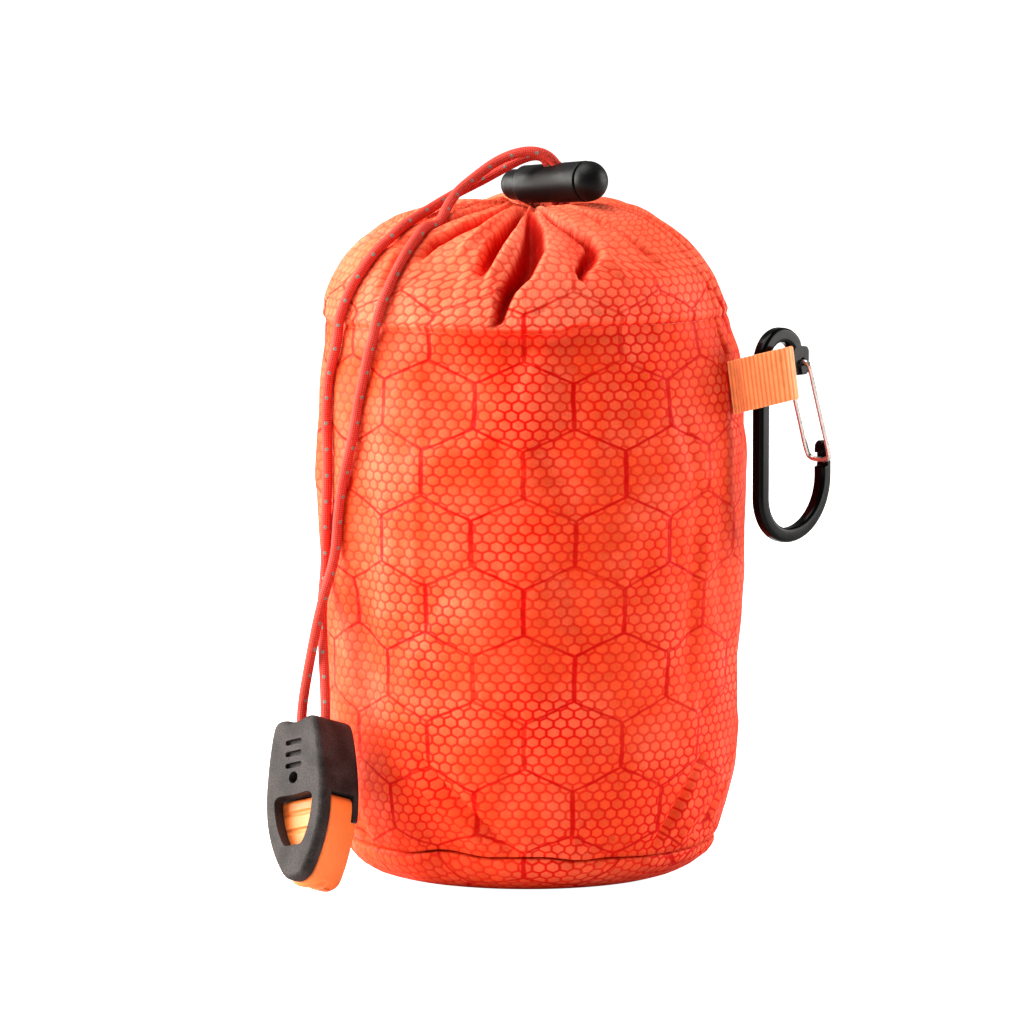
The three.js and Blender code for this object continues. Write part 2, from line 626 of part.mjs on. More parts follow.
function buildHousing() {
  const [front, back] = [-WHISTLE.depth / 2, WHISTLE.depth / 2];
  const wide = [-20, 20];
  let solid = toSolid(bevelledPlate(HOUSING_ROWS, front, back, HOUSING.bevel));
  solid = solid.subtract(box(wide, [front + HOUSING.plate, back - HOUSING.tongue], [-5, HOUSING.cap]));
  solid = solid.subtract(box(wide, [back - HOUSING.tongue - 1, back + 1], [-5, HOUSING.tongueEnd]));
  const window = bevelledPlate(WINDOW_ROWS, front - 1, front + HOUSING.plate + 0.5, 0);
  solid = solid.subtract(toSolid(window));
  const top = HOUSING_ROWS[HOUSING_ROWS.length - 1].height;
  for (const side of [-1, 1]) {
    const hole = new THREE.CylinderGeometry(CORD_HOLE.radius, CORD_HOLE.radius, 2 * CORD_HOLE.depth, 16);
    hole.rotateX(Math.PI / 2).translate(side * CORD_HOLE.across, 0, top);
    solid = solid.subtract(toSolid(hole));
  }
  const spot = crossRod(0, SPOT.height, SPOT.radius, 2 * SPOT.depth).translate(0, front, 0);
  solid = solid.subtract(toSolid(spot));
  for (let i = 0; i < GRIPS.count; i += 1) {
    const low = GRIPS.first + i * GRIPS.pitch;
    const groove = box([-GRIPS.half, GRIPS.half], [front - 1, front + GRIPS.depth], [low, low + GRIPS.tall]);
    solid = solid.subtract(groove);
  }
  return toGeometry(solid);
}

function buildInsert() {
  const front = -WHISTLE.depth / 2 + HOUSING.plate + GAP;
  const back = WHISTLE.depth / 2 - GAP;
  const pocket = [WHISTLE.depth / 2 - HOUSING.tongue - GAP, back + 1];
  let solid = toSolid(bevelledPlate(INSERT_ROWS, front, back, HOUSING.bevel));
  solid = solid.subtract(box([-20, 20], pocket, [HOUSING.tongueEnd - GAP, 30]));
  const groove = new THREE.CylinderGeometry(LOBE_GROOVE.radius, LOBE_GROOVE.radius, 30, 16);
  groove.rotateZ(Math.PI / 2).translate(0, LOBE_GROOVE.depth - WHISTLE.depth / 2, LOBE_GROOVE.height);
  return toGeometry(solid.subtract(toSolid(groove)));
}

// Moves a point straight out from the body until it lies on the cloth with the cord's clearance
function laidOn(wall, point) {
  const core = new THREE.Vector3(0, 0, Math.min(point.z, 116));
  const outward = new THREE.Vector3().subVectors(point, core).normalize();
  const start = core.clone().addScaledVector(outward, 200);
  const caster = new THREE.Raycaster(start, outward.clone().negate());
  return caster.intersectObject(wall)[0].point.addScaledVector(outward, CORD.laid);
}

// One leg of the drawcord: side is +1 for the leg nearer the lock's domed end
function buildLeg(wall, lock, whistle, side, holeSide, free, laid, low) {
  const lean = radians(CORD_SLOT.lean);
  const inSlot = [-1, 0, 1].map((share) => lock.localToWorld(new THREE.Vector3(
    side * CORD.apart,
    -share * CORD.slotReach * Math.sin(lean),
    share * CORD.slotReach * Math.cos(lean),
  )));
  const top = HOUSING_ROWS[HOUSING_ROWS.length - 1].height;
  const inHole = [4, 0, GAP - CORD_HOLE.depth].map((height) => (
    whistle.localToWorld(new THREE.Vector3(holeSide * CORD_HOLE.across, 0, top + height))
  ));
  const toPoint = (row) => new THREE.Vector3(row.x, row.y, row.z);
  const onCloth = laid.map((row) => laidOn(wall, toPoint(row)));
  const points = [...inSlot, ...free.map(toPoint), ...onCloth, ...low.map(toPoint), ...inHole];
  const curve = new THREE.CatmullRomCurve3(points, false, "centripetal");
  return tube(curve, CORD.radius, CORD.sides, CORD.steps);
}

function cordGroup(wall, lock, whistle) {
  const group = new THREE.Group();
  const legA = buildLeg(wall, lock, whistle, 1, -1, LEG_A_FREE, LEG_A_LAID, LEG_A_LOW);
  const legB = buildLeg(wall, lock, whistle, -1, 1, LEG_B_FREE, LEG_B_LAID, LEG_B_LOW);
  group.add(piece("cord_leg_a", legA, 0xf0614e, 0.8));
  group.add(piece("cord_leg_b", legB, 0xf0614e, 0.8));
  return group;
}

function clothGroup() {
  const group = new THREE.Group();
  group.add(piece("sack_wall", buildWall(), 0xf2572b, 0.7));
  group.add(piece("bottom_panel", buildPanel(), 0xe64a22, 0.7));
  return group;
}

function hardwareGroup() {
  const group = new THREE.Group();
  const heading = radians(TAB.at) - Math.PI / 2;
  const out = new THREE.Vector3(Math.cos(heading), Math.sin(heading), 0);
  const tab = new THREE.Group();
  tab.position.copy(out).multiplyScalar(TAB.rootRadius).setZ(TAB.height);
  tab.rotation.z = heading;
  tab.add(piece("webbing_tab", buildTab(), 0xf58a4a, 0.75));
  const clip = new THREE.Group();
  clip.position.copy(out).multiplyScalar(TAB.rootRadius + CLIP.spineOut);
  clip.rotation.z = radians(CLIP.turn);
  clip.add(piece("carabiner_body", buildClipBody(), 0x141416, 0.3, 0.5));
  clip.add(piece("gate_wire", buildGateWire(), 0xb9bcc0, 0.3, 1));
  group.add(tab, clip);
  return group;
}

function lockGroup() {
  const group = new THREE.Group();
  group.position.set(LOCK.x, LOCK.y, LOCK.z);
  group.rotation.z = radians(LOCK.turn);
  const tilted = new THREE.Group();
  tilted.rotation.y = radians(-LOCK.tilt);
  tilted.add(piece("lock_barrel", buildBarrel(), 0x19191b, 0.55));
  tilted.add(piece("lock_button", buildPlunger(), 0x19191b, 0.6));
  group.add(tilted);
  return group;
}

function whistleGroup() {
  const group = new THREE.Group();
  group.position.set(WHISTLE.x, WHISTLE.y, WHISTLE.z);
  group.rotation.x = radians(-WHISTLE.lean);
  const turned = new THREE.Group();
  turned.rotation.z = radians(WHISTLE.yaw);
  turned.add(piece("whistle_housing", buildHousing(), 0x4a4444, 0.6));
  turned.add(piece("whistle_insert", buildInsert(), 0xf58a3c, 0.45));
  group.add(turned);
  return group;
}

const model = new THREE.Group();
const cloth = clothGroup();
const lock = lockGroup();
const whistle = whistleGroup();
model.add(cloth, hardwareGroup(), lock, whistle);
model.updateMatrixWorld(true);
model.add(cordGroup(cloth.children[0], lock.children[0], whistle.children[0]));

export default model;
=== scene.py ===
"""Looks of an emergency sleeping bag packed in its drawstring sack, built round its CAD frame."""
import logging
import math
from dataclasses import dataclass, field
from enum import Enum
from typing import Any, Mapping, Optional, Sequence

import bpy
import numpy as np
from mathutils import Matrix, Vector
from mathutils.bvhtree import BVHTree


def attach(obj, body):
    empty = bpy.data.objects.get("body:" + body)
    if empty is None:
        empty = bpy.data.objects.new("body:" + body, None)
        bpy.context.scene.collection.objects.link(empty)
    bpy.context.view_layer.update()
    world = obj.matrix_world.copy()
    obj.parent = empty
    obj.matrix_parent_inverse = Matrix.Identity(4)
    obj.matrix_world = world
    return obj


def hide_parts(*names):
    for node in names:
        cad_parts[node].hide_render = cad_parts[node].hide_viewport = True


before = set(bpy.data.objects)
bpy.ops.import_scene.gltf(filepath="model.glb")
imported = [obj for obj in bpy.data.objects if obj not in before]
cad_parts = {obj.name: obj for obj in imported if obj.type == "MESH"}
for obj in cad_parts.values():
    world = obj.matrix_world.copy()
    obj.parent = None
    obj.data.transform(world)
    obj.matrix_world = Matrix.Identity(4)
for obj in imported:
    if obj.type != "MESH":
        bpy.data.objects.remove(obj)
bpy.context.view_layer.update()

LOG = logging.getLogger("sleeping_bag")
MM = 0.001
ROOT_BODY, GATE_BODY, BUTTON_BODY = "sack", "gate", "button"
Array = np.ndarray
Color = Spot = tuple[float, float, float]
Pair = tuple[float, float]
Piece = bpy.types.Object
Material = bpy.types.Material
Node = bpy.types.Node
Socket = bpy.types.NodeSocket
Feed = Any


class Slot(Enum):
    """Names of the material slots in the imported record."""

    FABRIC = "sack_fabric"
    WEBBING = "webbing"
    CARABINER = "carabiner"
    WIRE = "gate_wire"
    LOCK = "cord_lock"
    CORD = "drawcord"
    HOUSING = "whistle_housing"
    INSERT = "whistle_insert"


def gaussian(values: Array, sigma: float) -> Array:
    """Smooths a row of samples.

    Args:
        values: Evenly spaced samples.
        sigma: Width of the smoothing, in samples.

    Returns:
        As many samples, smoothed.
    """
    half = int(4 * sigma) + 1
    kernel = np.exp(-0.5 * (np.arange(-half, half + 1) / sigma) ** 2)
    padded = np.pad(values, half, mode="reflect", reflect_type="odd")
    return np.convolve(padded, kernel / kernel.sum(), mode="valid")


def step(values: Array, low: float, high: float) -> Array:
    """Smooth rise from 0 at low to 1 at high."""
    share = np.clip((values - low) / (high - low), 0, 1)
    return share * share * (3 - 2 * share)


def trough(distance: Array, width: Array) -> Array:
    """Rounded trough across a fold: one in the middle, nothing past half its width."""
    share = np.clip(np.abs(distance) / (width / 2), 0, 1)
    return (1 + np.cos(np.pi * share)) / 2


def apart(a: Array, b: Array) -> Array:
    """Signed angle in degrees from heading b to heading a."""
    return (a - b + 540) % 360 - 180


def run_along(line: Array) -> Array:
    """Distance from a line's start to each of its points."""
    return np.concatenate([[0], np.cumsum(np.linalg.norm(np.diff(line, axis=0), axis=1))])


def sampled(at: Array, run: Array, rows: Array) -> Array:
    """Rows of numbers, read between one another at other places along their run."""
    return np.column_stack([np.interp(at, run, column) for column in rows.T])


def resampled(line: Array, pitch: float) -> Array:
    """The same line with evenly spaced points.

    Args:
        line: Points of the line, one a row.
        pitch: Distance between the new points, about.

    Returns:
        The new points, one a row.
    """
    run = run_along(line)
    return sampled(np.linspace(0, run[-1], max(int(round(run[-1] / pitch)), 2) + 1), run, line)


def spline(points: Sequence[Sequence[float]], pitch: float) -> Array:
    """Smooth curve through points, sampled at an even pitch.

    Args:
        points: Points that it passes through.
        pitch: Distance between samples.

    Returns:
        The samples, one a row.
    """
    p = np.array(points, float)
    p = np.vstack([2 * p[0] - p[1], p, 2 * p[-1] - p[-2]])
    knots = np.concatenate([[0], np.cumsum(np.sqrt(np.linalg.norm(np.diff(p, axis=0), axis=1)))])
    dense = []
    for i in range(1, len(p) - 2):
        t0, t1, t2, t3 = knots[i - 1 : i + 3]
        t = np.linspace(t1, t2, 24, endpoint=i == len(p) - 3)[:, None]
        a1 = (t1 - t) / (t1 - t0) * p[i - 1] + (t - t0) / (t1 - t0) * p[i]
        a2 = (t2 - t) / (t2 - t1) * p[i] + (t - t1) / (t2 - t1) * p[i + 1]
        a3 = (t3 - t) / (t3 - t2) * p[i + 1] + (t - t2) / (t3 - t2) * p[i + 2]
        b1 = (t2 - t) / (t2 - t0) * a1 + (t - t0) / (t2 - t0) * a2
        b2 = (t3 - t) / (t3 - t1) * a2 + (t - t1) / (t3 - t1) * a3
        dense.append((t2 - t) / (t2 - t1) * b1 + (t - t1) / (t2 - t1) * b2)
    return resampled(np.vstack(dense), pitch)


def headings(line: Array) -> Array:
    """Unit direction of a line at each of its points."""
    tangent = np.gradient(line, axis=0)
    return tangent / np.linalg.norm(tangent, axis=1, keepdims=True)


def shift_by(x: float, y: float, z: float) -> Matrix:
    """Move by millimetres along each axis."""
    return Matrix.Translation(Vector((x, y, z)))


def turn_by(degrees: float, axis: str) -> Matrix:
    """Turn about an axis through the origin."""
    return Matrix.Rotation(math.radians(degrees), 4, axis)


def in_scene(name: str, data: bpy.types.ID) -> Piece:
    """New object of some data, linked to the scene."""
    made = bpy.data.objects.new(name, data)
    bpy.context.scene.collection.objects.link(made)
    return made


def mesh_object(
    name: str, points: Array, faces: Sequence[Sequence[int]], uv: Optional[Array] = None
) -> Piece:
    """Makes a smooth-shaded object from points in millimetres.

    Args:
        name: Name of the piece.
        points: Vertices, one a row.
        faces: Vertex numbers of each face, seen anticlockwise from outside.
        uv: Flat cloth position of each face corner in metres, in the order of the faces.

    Returns:
        The object, linked to the scene.
    """
    mesh = bpy.data.meshes.new(name)
    mesh.from_pydata((np.asarray(points) * MM).tolist(), [], [list(f) for f in faces])
    mesh.polygons.foreach_set("use_smooth", [True] * len(mesh.polygons))
    if uv is not None:
        layer = mesh.uv_layers.new(name="cloth")
        layer.data.foreach_set("uv", np.asarray(uv, np.float32).ravel())
    mesh.update()
    return in_scene(name, mesh)


def ring_faces(rings: int, count: int, capped: bool = True) -> list[tuple[int, ...]]:
    """Quads between closed rings of vertices, and triangles that close both ends.

    Args:
        rings: Number of rings.
        count: Number of vertices in a ring.
        capped: Whether the middle vertices of the first and last ring follow the rings.

    Returns:
        Faces whose outside is on the right of a ring's run with the rings going up.
    """
    faces = []
    for i in range(0, (rings - 1) * count, count):
        for j in range(count):
            k = (j + 1) % count
            faces.append((i + j, i + k, i + count + k, i + count + j))
    base, last = rings * count, (rings - 1) * count
    for j in range(count if capped else 0):
        k = (j + 1) % count
        faces += [(base, k, j), (base + 1, last + j, last + k)]
    return faces


def frames_along(line: Array) -> tuple[Array, Array]:
    """Directions square to a line that turn as little as possible along it.

    Args:
        line: Points of the line, one a row.

    Returns:
        Side and rise at each point.
    """
    tangent = headings(line)
    first = np.array([0.0, 0.0, 1.0]) if abs(tangent[0][2]) < 0.9 else np.array([0.0, 1.0, 0.0])
    side = np.empty_like(line)
    previous = np.cross(tangent[0], first)
    for i, along in enumerate(tangent):
        previous = previous - along * np.dot(previous, along)
        previous /= np.linalg.norm(previous)
        side[i] = previous
    return side, np.cross(tangent, side)


def swept(
    name: str, line: Array, side: Array, rise: Array, section: Array, close_pitch: float = 0.0
) -> Piece:
    """Closed solid of one section swept along a line.

    Args:
        name: Name of the piece.
        line: Points of the path, in millimetres.
        side: First direction of the section at each point.
        rise: Second direction of the section at each point.
        section: Corners of the section, anticlockwise seen against the path, or one set a point.
        close_pitch: Length of one unit round the section in the UV map, in metres.

    Returns:
        The swept object, with UVs of distance round the section and run along the path.
    """
    corners = np.broadcast_to(section, (len(line), *np.shape(section)[-2:]))
    points = line[:, None] + side[:, None] * corners[..., :1] + rise[:, None] * corners[..., 1:]
    count = corners.shape[1]
    run, pitch = run_along(line) * MM, close_pitch or 1.0 / count
    uv = [
        ((j + dj) * pitch, run[i + di])
        for i in range(len(line) - 1)
        for j in range(count)
        for di, dj in ((0, 0), (0, 1), (1, 1), (1, 0))
    ]
    for j in range(count):
        uv += [(0, 0), ((j + 1) * pitch, 0), (j * pitch, 0)]
        uv += [(0, run[-1]), (j * pitch, run[-1]), ((j + 1) * pitch, run[-1])]
    points = np.vstack([points.reshape(-1, 3), [line[0], line[-1]]])
    return mesh_object(name, points, ring_faces(len(line), count), np.array(uv))


def round_section(radius: float, sides: int) -> Array:
    """Corners of a circle."""
    angle = np.arange(sides) * 2 * np.pi / sides
    return np.column_stack([radius * np.cos(angle), radius * np.sin(angle)])


def soft_box_section(half_wide: float, half_deep: float, corner: float, steps: int = 4) -> Array:
    """Corners of a rectangle with rounded corners.

    Args:
        half_wide: Half its width.
        half_deep: Half its depth.
        corner: Radius of its corners.
        steps: Facets in each corner.

    Returns:
        Points round it, anticlockwise from the middle of its right side.
    """
    points = []
    for k, (sx, sy) in enumerate(((1, 1), (-1, 1), (-1, -1), (1, -1))):
        for i in range(steps + 1):
            angle = math.radians(90 * (k + i / steps))
            x = sx * (half_wide - corner) + corner * math.cos(angle)
            points.append((x, sy * (half_deep - corner) + corner * math.sin(angle)))
    return np.array(points)


def prism(rise: Spot, half_length: float, section: Array) -> Piece:
    """Straight block of one section, centred on the origin.

    Args:
        rise: Direction of the section's second axis. Its first is X.
        half_length: Half the length of the block.
        section: Corners of the section.

    Returns:
        The block, lying along the direction square to X and the rise.
    """
    side = np.array([1.0, 0.0, 0.0])
    along = np.cross(side, rise) * half_length
    line = np.array([-along, along])
    return swept("prism", line, np.tile(side, (2, 1)), np.tile(rise, (2, 1)), section)


def turned(name: str, rows: Sequence[Pair], around: int) -> Piece:
    """Solid of revolution about +X that starts and ends on the axis.

    Args:
        name: Name of the piece.
        rows: Distance along X and radius, from the low end to the high end.
        around: Number of vertices in a ring.

    Returns:
        The object, at the origin.
    """
    inner = [row for row in rows if row[1] > 1e-6]
    angle = np.arange(around) * 2 * np.pi / around
    rings = [np.column_stack([np.full(around, x), r * np.cos(angle), r * np.sin(angle)]) for x, r in inner]
    ends = [[rows[0][0], 0, 0], [rows[-1][0], 0, 0]]
    return mesh_object(name, np.vstack([*rings, ends]), ring_faces(len(inner), around))


def dome(start: float, radius: float, length: float, steps: int) -> list[Pair]:
    """Rows of a dome from its rim, left out, to its top on the axis.

    Args:
        start: Place of the rim along the axis.
        radius: Radius of the rim.
        length: Height of the dome.
        steps: Number of rows.

    Returns:
        Distance along the axis and radius of each row.
    """
    turns = [math.pi / 2 * i / steps for i in range(1, steps)]
    rows = [(start + length * math.sin(t), radius * math.cos(t)) for t in turns]
    return [*rows, (start + length, 0.0)]


def settle(target: Piece) -> None:
    """Turns an object with modifiers into a plain mesh in its own place.

    Args:
        target: Object whose mesh changes.
    """
    graph = bpy.context.evaluated_depsgraph_get()
    graph.update()
    mesh = bpy.data.meshes.new_from_object(target.evaluated_get(graph))
    target.modifiers.clear()
    old, target.data = target.data, mesh
    bpy.data.meshes.remove(old)


def cut(target: Piece, tool: Piece, operation: str = "DIFFERENCE") -> None:
    """Cuts one closed mesh with another and removes the tool.

    Args:
        target: Object whose mesh changes.
        tool: Object that cuts or joins it.
        operation: Blender's name of the boolean operation.
    """
    modifier = target.modifiers.new("cut", "BOOLEAN")
    modifier.operation, modifier.solver, modifier.object = operation, "EXACT", tool
    settle(target)
    bpy.data.objects.remove(tool)


def soften(target: Piece, width: float, angle: float = 35, segments: int = 3) -> None:
    """Rounds the sharp edges of a mesh and shades it smooth.

    Args:
        target: Object whose edges are rounded.
        width: Width of the rounding, in millimetres.
        angle: Edges sharper than this are rounded, in degrees.
        segments: Number of facets across the rounding.
    """
    modifier = target.modifiers.new("soften", "BEVEL")
    modifier.width, modifier.segments = width * MM, segments
    modifier.limit_method, modifier.angle_limit = "ANGLE", math.radians(angle)
    modifier.use_clamp_overlap, modifier.harden_normals = True, False
    settle(target)
    target.data.polygons.foreach_set("use_smooth", [True] * len(target.data.polygons))
    target.data.set_sharp_from_angle(angle=math.radians(angle + 10))
    flat = target.modifiers.new("flat faces", "WEIGHTED_NORMAL")
    flat.keep_sharp, flat.weight = True, 100
    settle(target)


def placed(target: Piece, matrix: Matrix) -> Piece:
    """Moves the mesh itself, so that the object stays at the origin.

    Args:
        target: Object whose mesh moves.
        matrix: Move, in millimetres.

    Returns:
        The object.
    """
    shift = matrix.copy()
    shift.translation = matrix.translation * MM
    target.data.transform(shift)
    target.data.update()
    return target


def rod(radius: float, low: float, high: float, place: Matrix, around: int = 40) -> Piece:
    """Round cutter that lies along X from low to high before it is placed."""
    return placed(turned("rod", [(low, 0), (low, radius), (high, radius), (high, 0)], around), place)


def dressed(target: Piece, material: Material, body: str, nodes: Sequence[str] = ()) -> Piece:
    """Gives a piece its material and hangs it on its CAD body.

    Args:
        target: Finished piece.
        material: Its finish.
        body: CAD body that it rides on.
        nodes: CAD nodes that it stands for.

    Returns:
        The piece.
    """
    target.data.materials.clear()
    target.data.materials.append(material)
    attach(target, body)
    if nodes:
        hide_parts(*nodes)
    LOG.info("%s: %d faces on %s", target.name, len(target.data.polygons), body)
    return target


class Graph:
    """Node tree with short calls for the nodes that fill it."""

    def __init__(self, tree: bpy.types.NodeTree) -> None:
        """Keeps the tree that the calls add to."""
        self.tree = tree

    def feed(self, node: Node, feeds: Mapping[Any, Feed]) -> Node:
        """Sets or links inputs of a node.

        Args:
            node: Node of the tree.
            feeds: Value or output socket for each input, by its name or number.

        Returns:
            The node.
        """
        for key, value in feeds.items():
            if isinstance(value, Socket):
                self.tree.links.new(value, node.inputs[key])
            else:
                node.inputs[key].default_value = value
        return node

    def add(self, kind: str, feeds: Optional[Mapping[Any, Feed]] = None, **settings: Any) -> Node:
        """Adds a node, sets it up and feeds its sockets.

        Args:
            kind: Blender's name of the node type.
            feeds: Value or output socket for each input, by its name or number.
            **settings: Properties of the node.

        Returns:
            The node.
        """
        made = self.tree.nodes.new(kind)
        for key, value in settings.items():
            setattr(made, key, value)
        return self.feed(made, feeds or {})

    def use(self, group: bpy.types.NodeTree, **feeds: Feed) -> Node:
        """Places a shader group in the tree."""
        return self.add("ShaderNodeGroup", feeds, node_tree=group)

    def calc(self, operation: str, *values: Feed) -> Socket:
        """Output of a Math node."""
        return self.add("ShaderNodeMath", dict(enumerate(values)), operation=operation).outputs[0]

    def times(self, a: Feed, b: Feed) -> Socket:
        """Product of two values."""
        return self.calc("MULTIPLY", a, b)

    def plus(self, a: Feed, b: Feed) -> Socket:
        """Sum of two values."""
        return self.calc("ADD", a, b)

    def minus(self, a: Feed, b: Feed) -> Socket:
        """First value less the second."""
        return self.calc("SUBTRACT", a, b)

    def vcalc(self, operation: str, *values: Feed) -> Socket:
        """Output of a Vector Math node."""
        made = self.add("ShaderNodeVectorMath", dict(enumerate(values)), operation=operation)
        return made.outputs["Value" if operation in ("LENGTH", "DOT_PRODUCT") else "Vector"]

    def vector(self, *values: Feed) -> Socket:
        """Vector of up to three values."""
        return self.add("ShaderNodeCombineXYZ", dict(enumerate(values))).outputs[0]

    def gray(self, value: Feed) -> Socket:
        """Gray, or a gain that is the same for every colour."""
        return self.vector(value, value, value)

    def split(self, vector: Feed) -> Sequence[Socket]:
        """The three parts of a vector."""
        return self.add("ShaderNodeSeparateXYZ", {0: vector}).outputs

    def remap(self, value: Feed, low: float, high: float, to_low: float, to_high: float) -> Socket:
        """Smooth change from one number to another as a value rises.

        Args:
            value: Value that rises.
            low: Where the change starts.
            high: Where it ends.
            to_low: Number before the change.
            to_high: Number after it.

        Returns:
            The changing number.
        """
        feeds = {0: value, 1: low, 2: high, 3: to_low, 4: to_high}
        return self.add("ShaderNodeMapRange", feeds, interpolation_type="SMOOTHSTEP").outputs[0]

    def mix(self, share: Feed, a: Feed, b: Feed) -> Socket:
        """Colour that goes from a to b as the share rises.

        Args:
            share: Share of b, from 0 to 1.
            a: Colour or output socket.
            b: Colour or output socket.

        Returns:
            The colour.
        """
        a, b = (color if isinstance(color, Socket) else (*color, 1.0) for color in (a, b))
        return self.add("ShaderNodeMix", {0: share, 6: a, 7: b}, data_type="RGBA").outputs[2]

    def noise(self, vector: Feed, size: float, detail: float = 2.0, rough: float = 0.5) -> Socket:
        """Noise from 0 to 1 whose blotches are about a size across, in millimetres."""
        feeds = {"Vector": vector, "Scale": 1 / (size * MM), "Detail": detail, "Roughness": rough}
        return self.add("ShaderNodeTexNoise", feeds).outputs[0]

    def bump(self, strength: float, distance: Feed, height: Feed, normal: Optional[Socket] = None) -> Socket:
        """Normal of fine relief.

        Args:
            strength: Strength of the relief.
            distance: Its depth, in metres.
            height: Its height, from 0 to 1.
            normal: Normal that it is added to.

        Returns:
            The new normal.
        """
        feeds = {"Strength": strength, "Distance": distance, "Height": height}
        if normal:
            feeds["Normal"] = normal
        return self.add("ShaderNodeBump", feeds).outputs[0]

    def place(self) -> Socket:
        """Object coordinates."""
        return self.add("ShaderNodeTexCoord").outputs["Object"]

    def cloth_map(self) -> Socket:
        """Flat position on the cloth, webbing or cord."""
        return self.add("ShaderNodeUVMap", uv_map="cloth").outputs[0]

    def mark(self, name: str) -> Socket:
        """Value that the mesh holds for each of its points."""
        return self.add("ShaderNodeAttribute", attribute_name=name).outputs["Fac"]


def new_group(
    name: str, takes: Mapping[str, Optional[float]], gives: Mapping[str, str]
) -> tuple[Graph, bpy.types.NodeOutputs, Node]:
    """Empty shader group with named sockets.

    Args:
        name: Name of the group.
        takes: Default of each number that it takes, or None for a vector.
        gives: Kind of each output, Float or Vector.

    Returns:
        The group's graph, the outputs of its input node, and its output node.
    """
    tree = bpy.data.node_groups.new(name, "ShaderNodeTree")
    for title, default in takes.items():
        kind = "NodeSocketVector" if default is None else "NodeSocketFloat"
        socket = tree.interface.new_socket(title, in_out="INPUT", socket_type=kind)
        if default is not None:
            socket.default_value = default
    for title, kind in gives.items():
        tree.interface.new_socket(title, in_out="OUTPUT", socket_type="NodeSocket" + kind)
    return Graph(tree), tree.nodes.new("NodeGroupInput").outputs, tree.nodes.new("NodeGroupOutput")


class Effects:
    """Shader groups that more than one finish uses. They put out masks, values and normals only."""

    def __init__(self) -> None:
        """Builds each group once."""
        self.honeycomb, self.grain, self.wear = self._honeycomb(), self._grain(), self._wear()

    def _honeycomb(self) -> bpy.types.NodeTree:
        """Flattened hexagons: distance in from the border in mm, a value a cell, upright sides.

        Returns:
            The group.
        """
        graph, takes, end = new_group(
            "Honeycomb",
            {"Vector": None, "Width": 3.4, "Flatten": 0.744, "Rounding": 0.05},
            {"Border": "Float", "Cell": "Float", "Upright": "Float"},
        )
        width = takes["Width"]
        spread = graph.vector(width, graph.times(width, takes["Flatten"]), 1.0)
        feeds = {0: takes["Vector"], "Scale": 1 / MM}
        scaled = graph.add("ShaderNodeVectorMath", feeds, operation="SCALE").outputs[0]
        scaled = graph.vcalc("DIVIDE", scaled, spread)
        units = graph.vcalc("DIVIDE", scaled, (1.0, math.sqrt(3), 1.0))
        near = []
        for shift in (0.0, 0.5):
            moved = graph.vcalc("FRACTION", graph.vcalc("ADD", units, (shift, shift, 0.0)))
            inside = graph.vcalc("SUBTRACT", moved, (0.5, 0.5, 0.0))
            near.append(graph.vcalc("MULTIPLY", inside, (1.0, math.sqrt(3), 0.0)))
        far = [graph.vcalc("LENGTH", spot) for spot in near]
        feeds = {0: graph.calc("LESS_THAN", far[1], far[0]), 4: near[0], 5: near[1]}
        chosen = graph.add("ShaderNodeMix", feeds, data_type="VECTOR").outputs[1]
        parts = graph.split(graph.vcalc("ABSOLUTE", chosen))
        across, up = parts[0], parts[1]
        slant_up, half_row = 0.8660, 0.433
        slant = graph.plus(graph.times(across, 0.5), graph.times(up, slant_up))
        reach = graph.calc("SMOOTH_MAX", across, slant, takes["Rounding"])
        centre = graph.vcalc("SNAP", graph.vcalc("SUBTRACT", scaled, chosen), (0.5, half_row, 1.0))
        tint = graph.add("ShaderNodeTexWhiteNoise", {"Vector": centre}, noise_dimensions="2D")
        border = graph.times(graph.minus(0.5, reach), width)
        upright = graph.remap(graph.minus(across, slant), -0.01, 0.01, 0, 1)
        graph.feed(end, {"Border": border, "Upright": upright, "Cell": tint.outputs["Value"]})
        return graph.tree

    def _grain(self) -> bpy.types.NodeTree:
        """Fine moulded or sprayed grain as a normal, from object coordinates.

        Returns:
            The group.
        """
        graph, takes, end = new_group(
            "Grain", {"Size": 0.3, "Depth": 0.02, "Normal": None}, {"Normal": "Vector", "Height": "Float"}
        )
        scale = graph.calc("DIVIDE", 1 / MM, takes["Size"])
        feeds = {"Vector": graph.place(), "Scale": scale, "Detail": 3.0}
        height = graph.add("ShaderNodeTexNoise", feeds).outputs[0]
        normal = graph.bump(1.0, graph.times(takes["Depth"], MM), height, takes["Normal"])
        graph.feed(end, {"Normal": normal, "Height": height})
        return graph.tree

    def _wear(self) -> bpy.types.NodeTree:
        """Mask of rubbed edges and faint scratches, from 0 to 1.

        Returns:
            The group.
        """
        graph, takes, end = new_group("Wear", {"Amount": 0.4}, {"Mask": "Float"})
        place = graph.place()
        edge = graph.remap(graph.add("ShaderNodeNewGeometry").outputs["Pointiness"], 0.52, 0.62, 0, 1)
        broken = graph.remap(graph.noise(place, 1.6, 5.0, 0.7), 0.42, 0.62, 0, 1)
        stretched = graph.vcalc("MULTIPLY", place, (1.0, 1.0, 0.12))
        scratch = graph.remap(graph.noise(stretched, 0.4, 3.0), 0.64, 0.7, 0, 0.5)
        share = graph.times(graph.plus(graph.times(edge, broken), scratch), takes["Amount"])
        graph.feed(end, {"Mask": graph.calc("MINIMUM", share, 1.0)})
        return graph.tree


def blank(name: str) -> tuple[Material, Graph, Node]:
    """New material with a Principled surface.

    Args:
        name: Name of the material.

    Returns:
        The material, its graph and its shader node.
    """
    material = bpy.data.materials.new(name)
    material.use_nodes = True
    return material, Graph(material.node_tree), material.node_tree.nodes["Principled BSDF"]


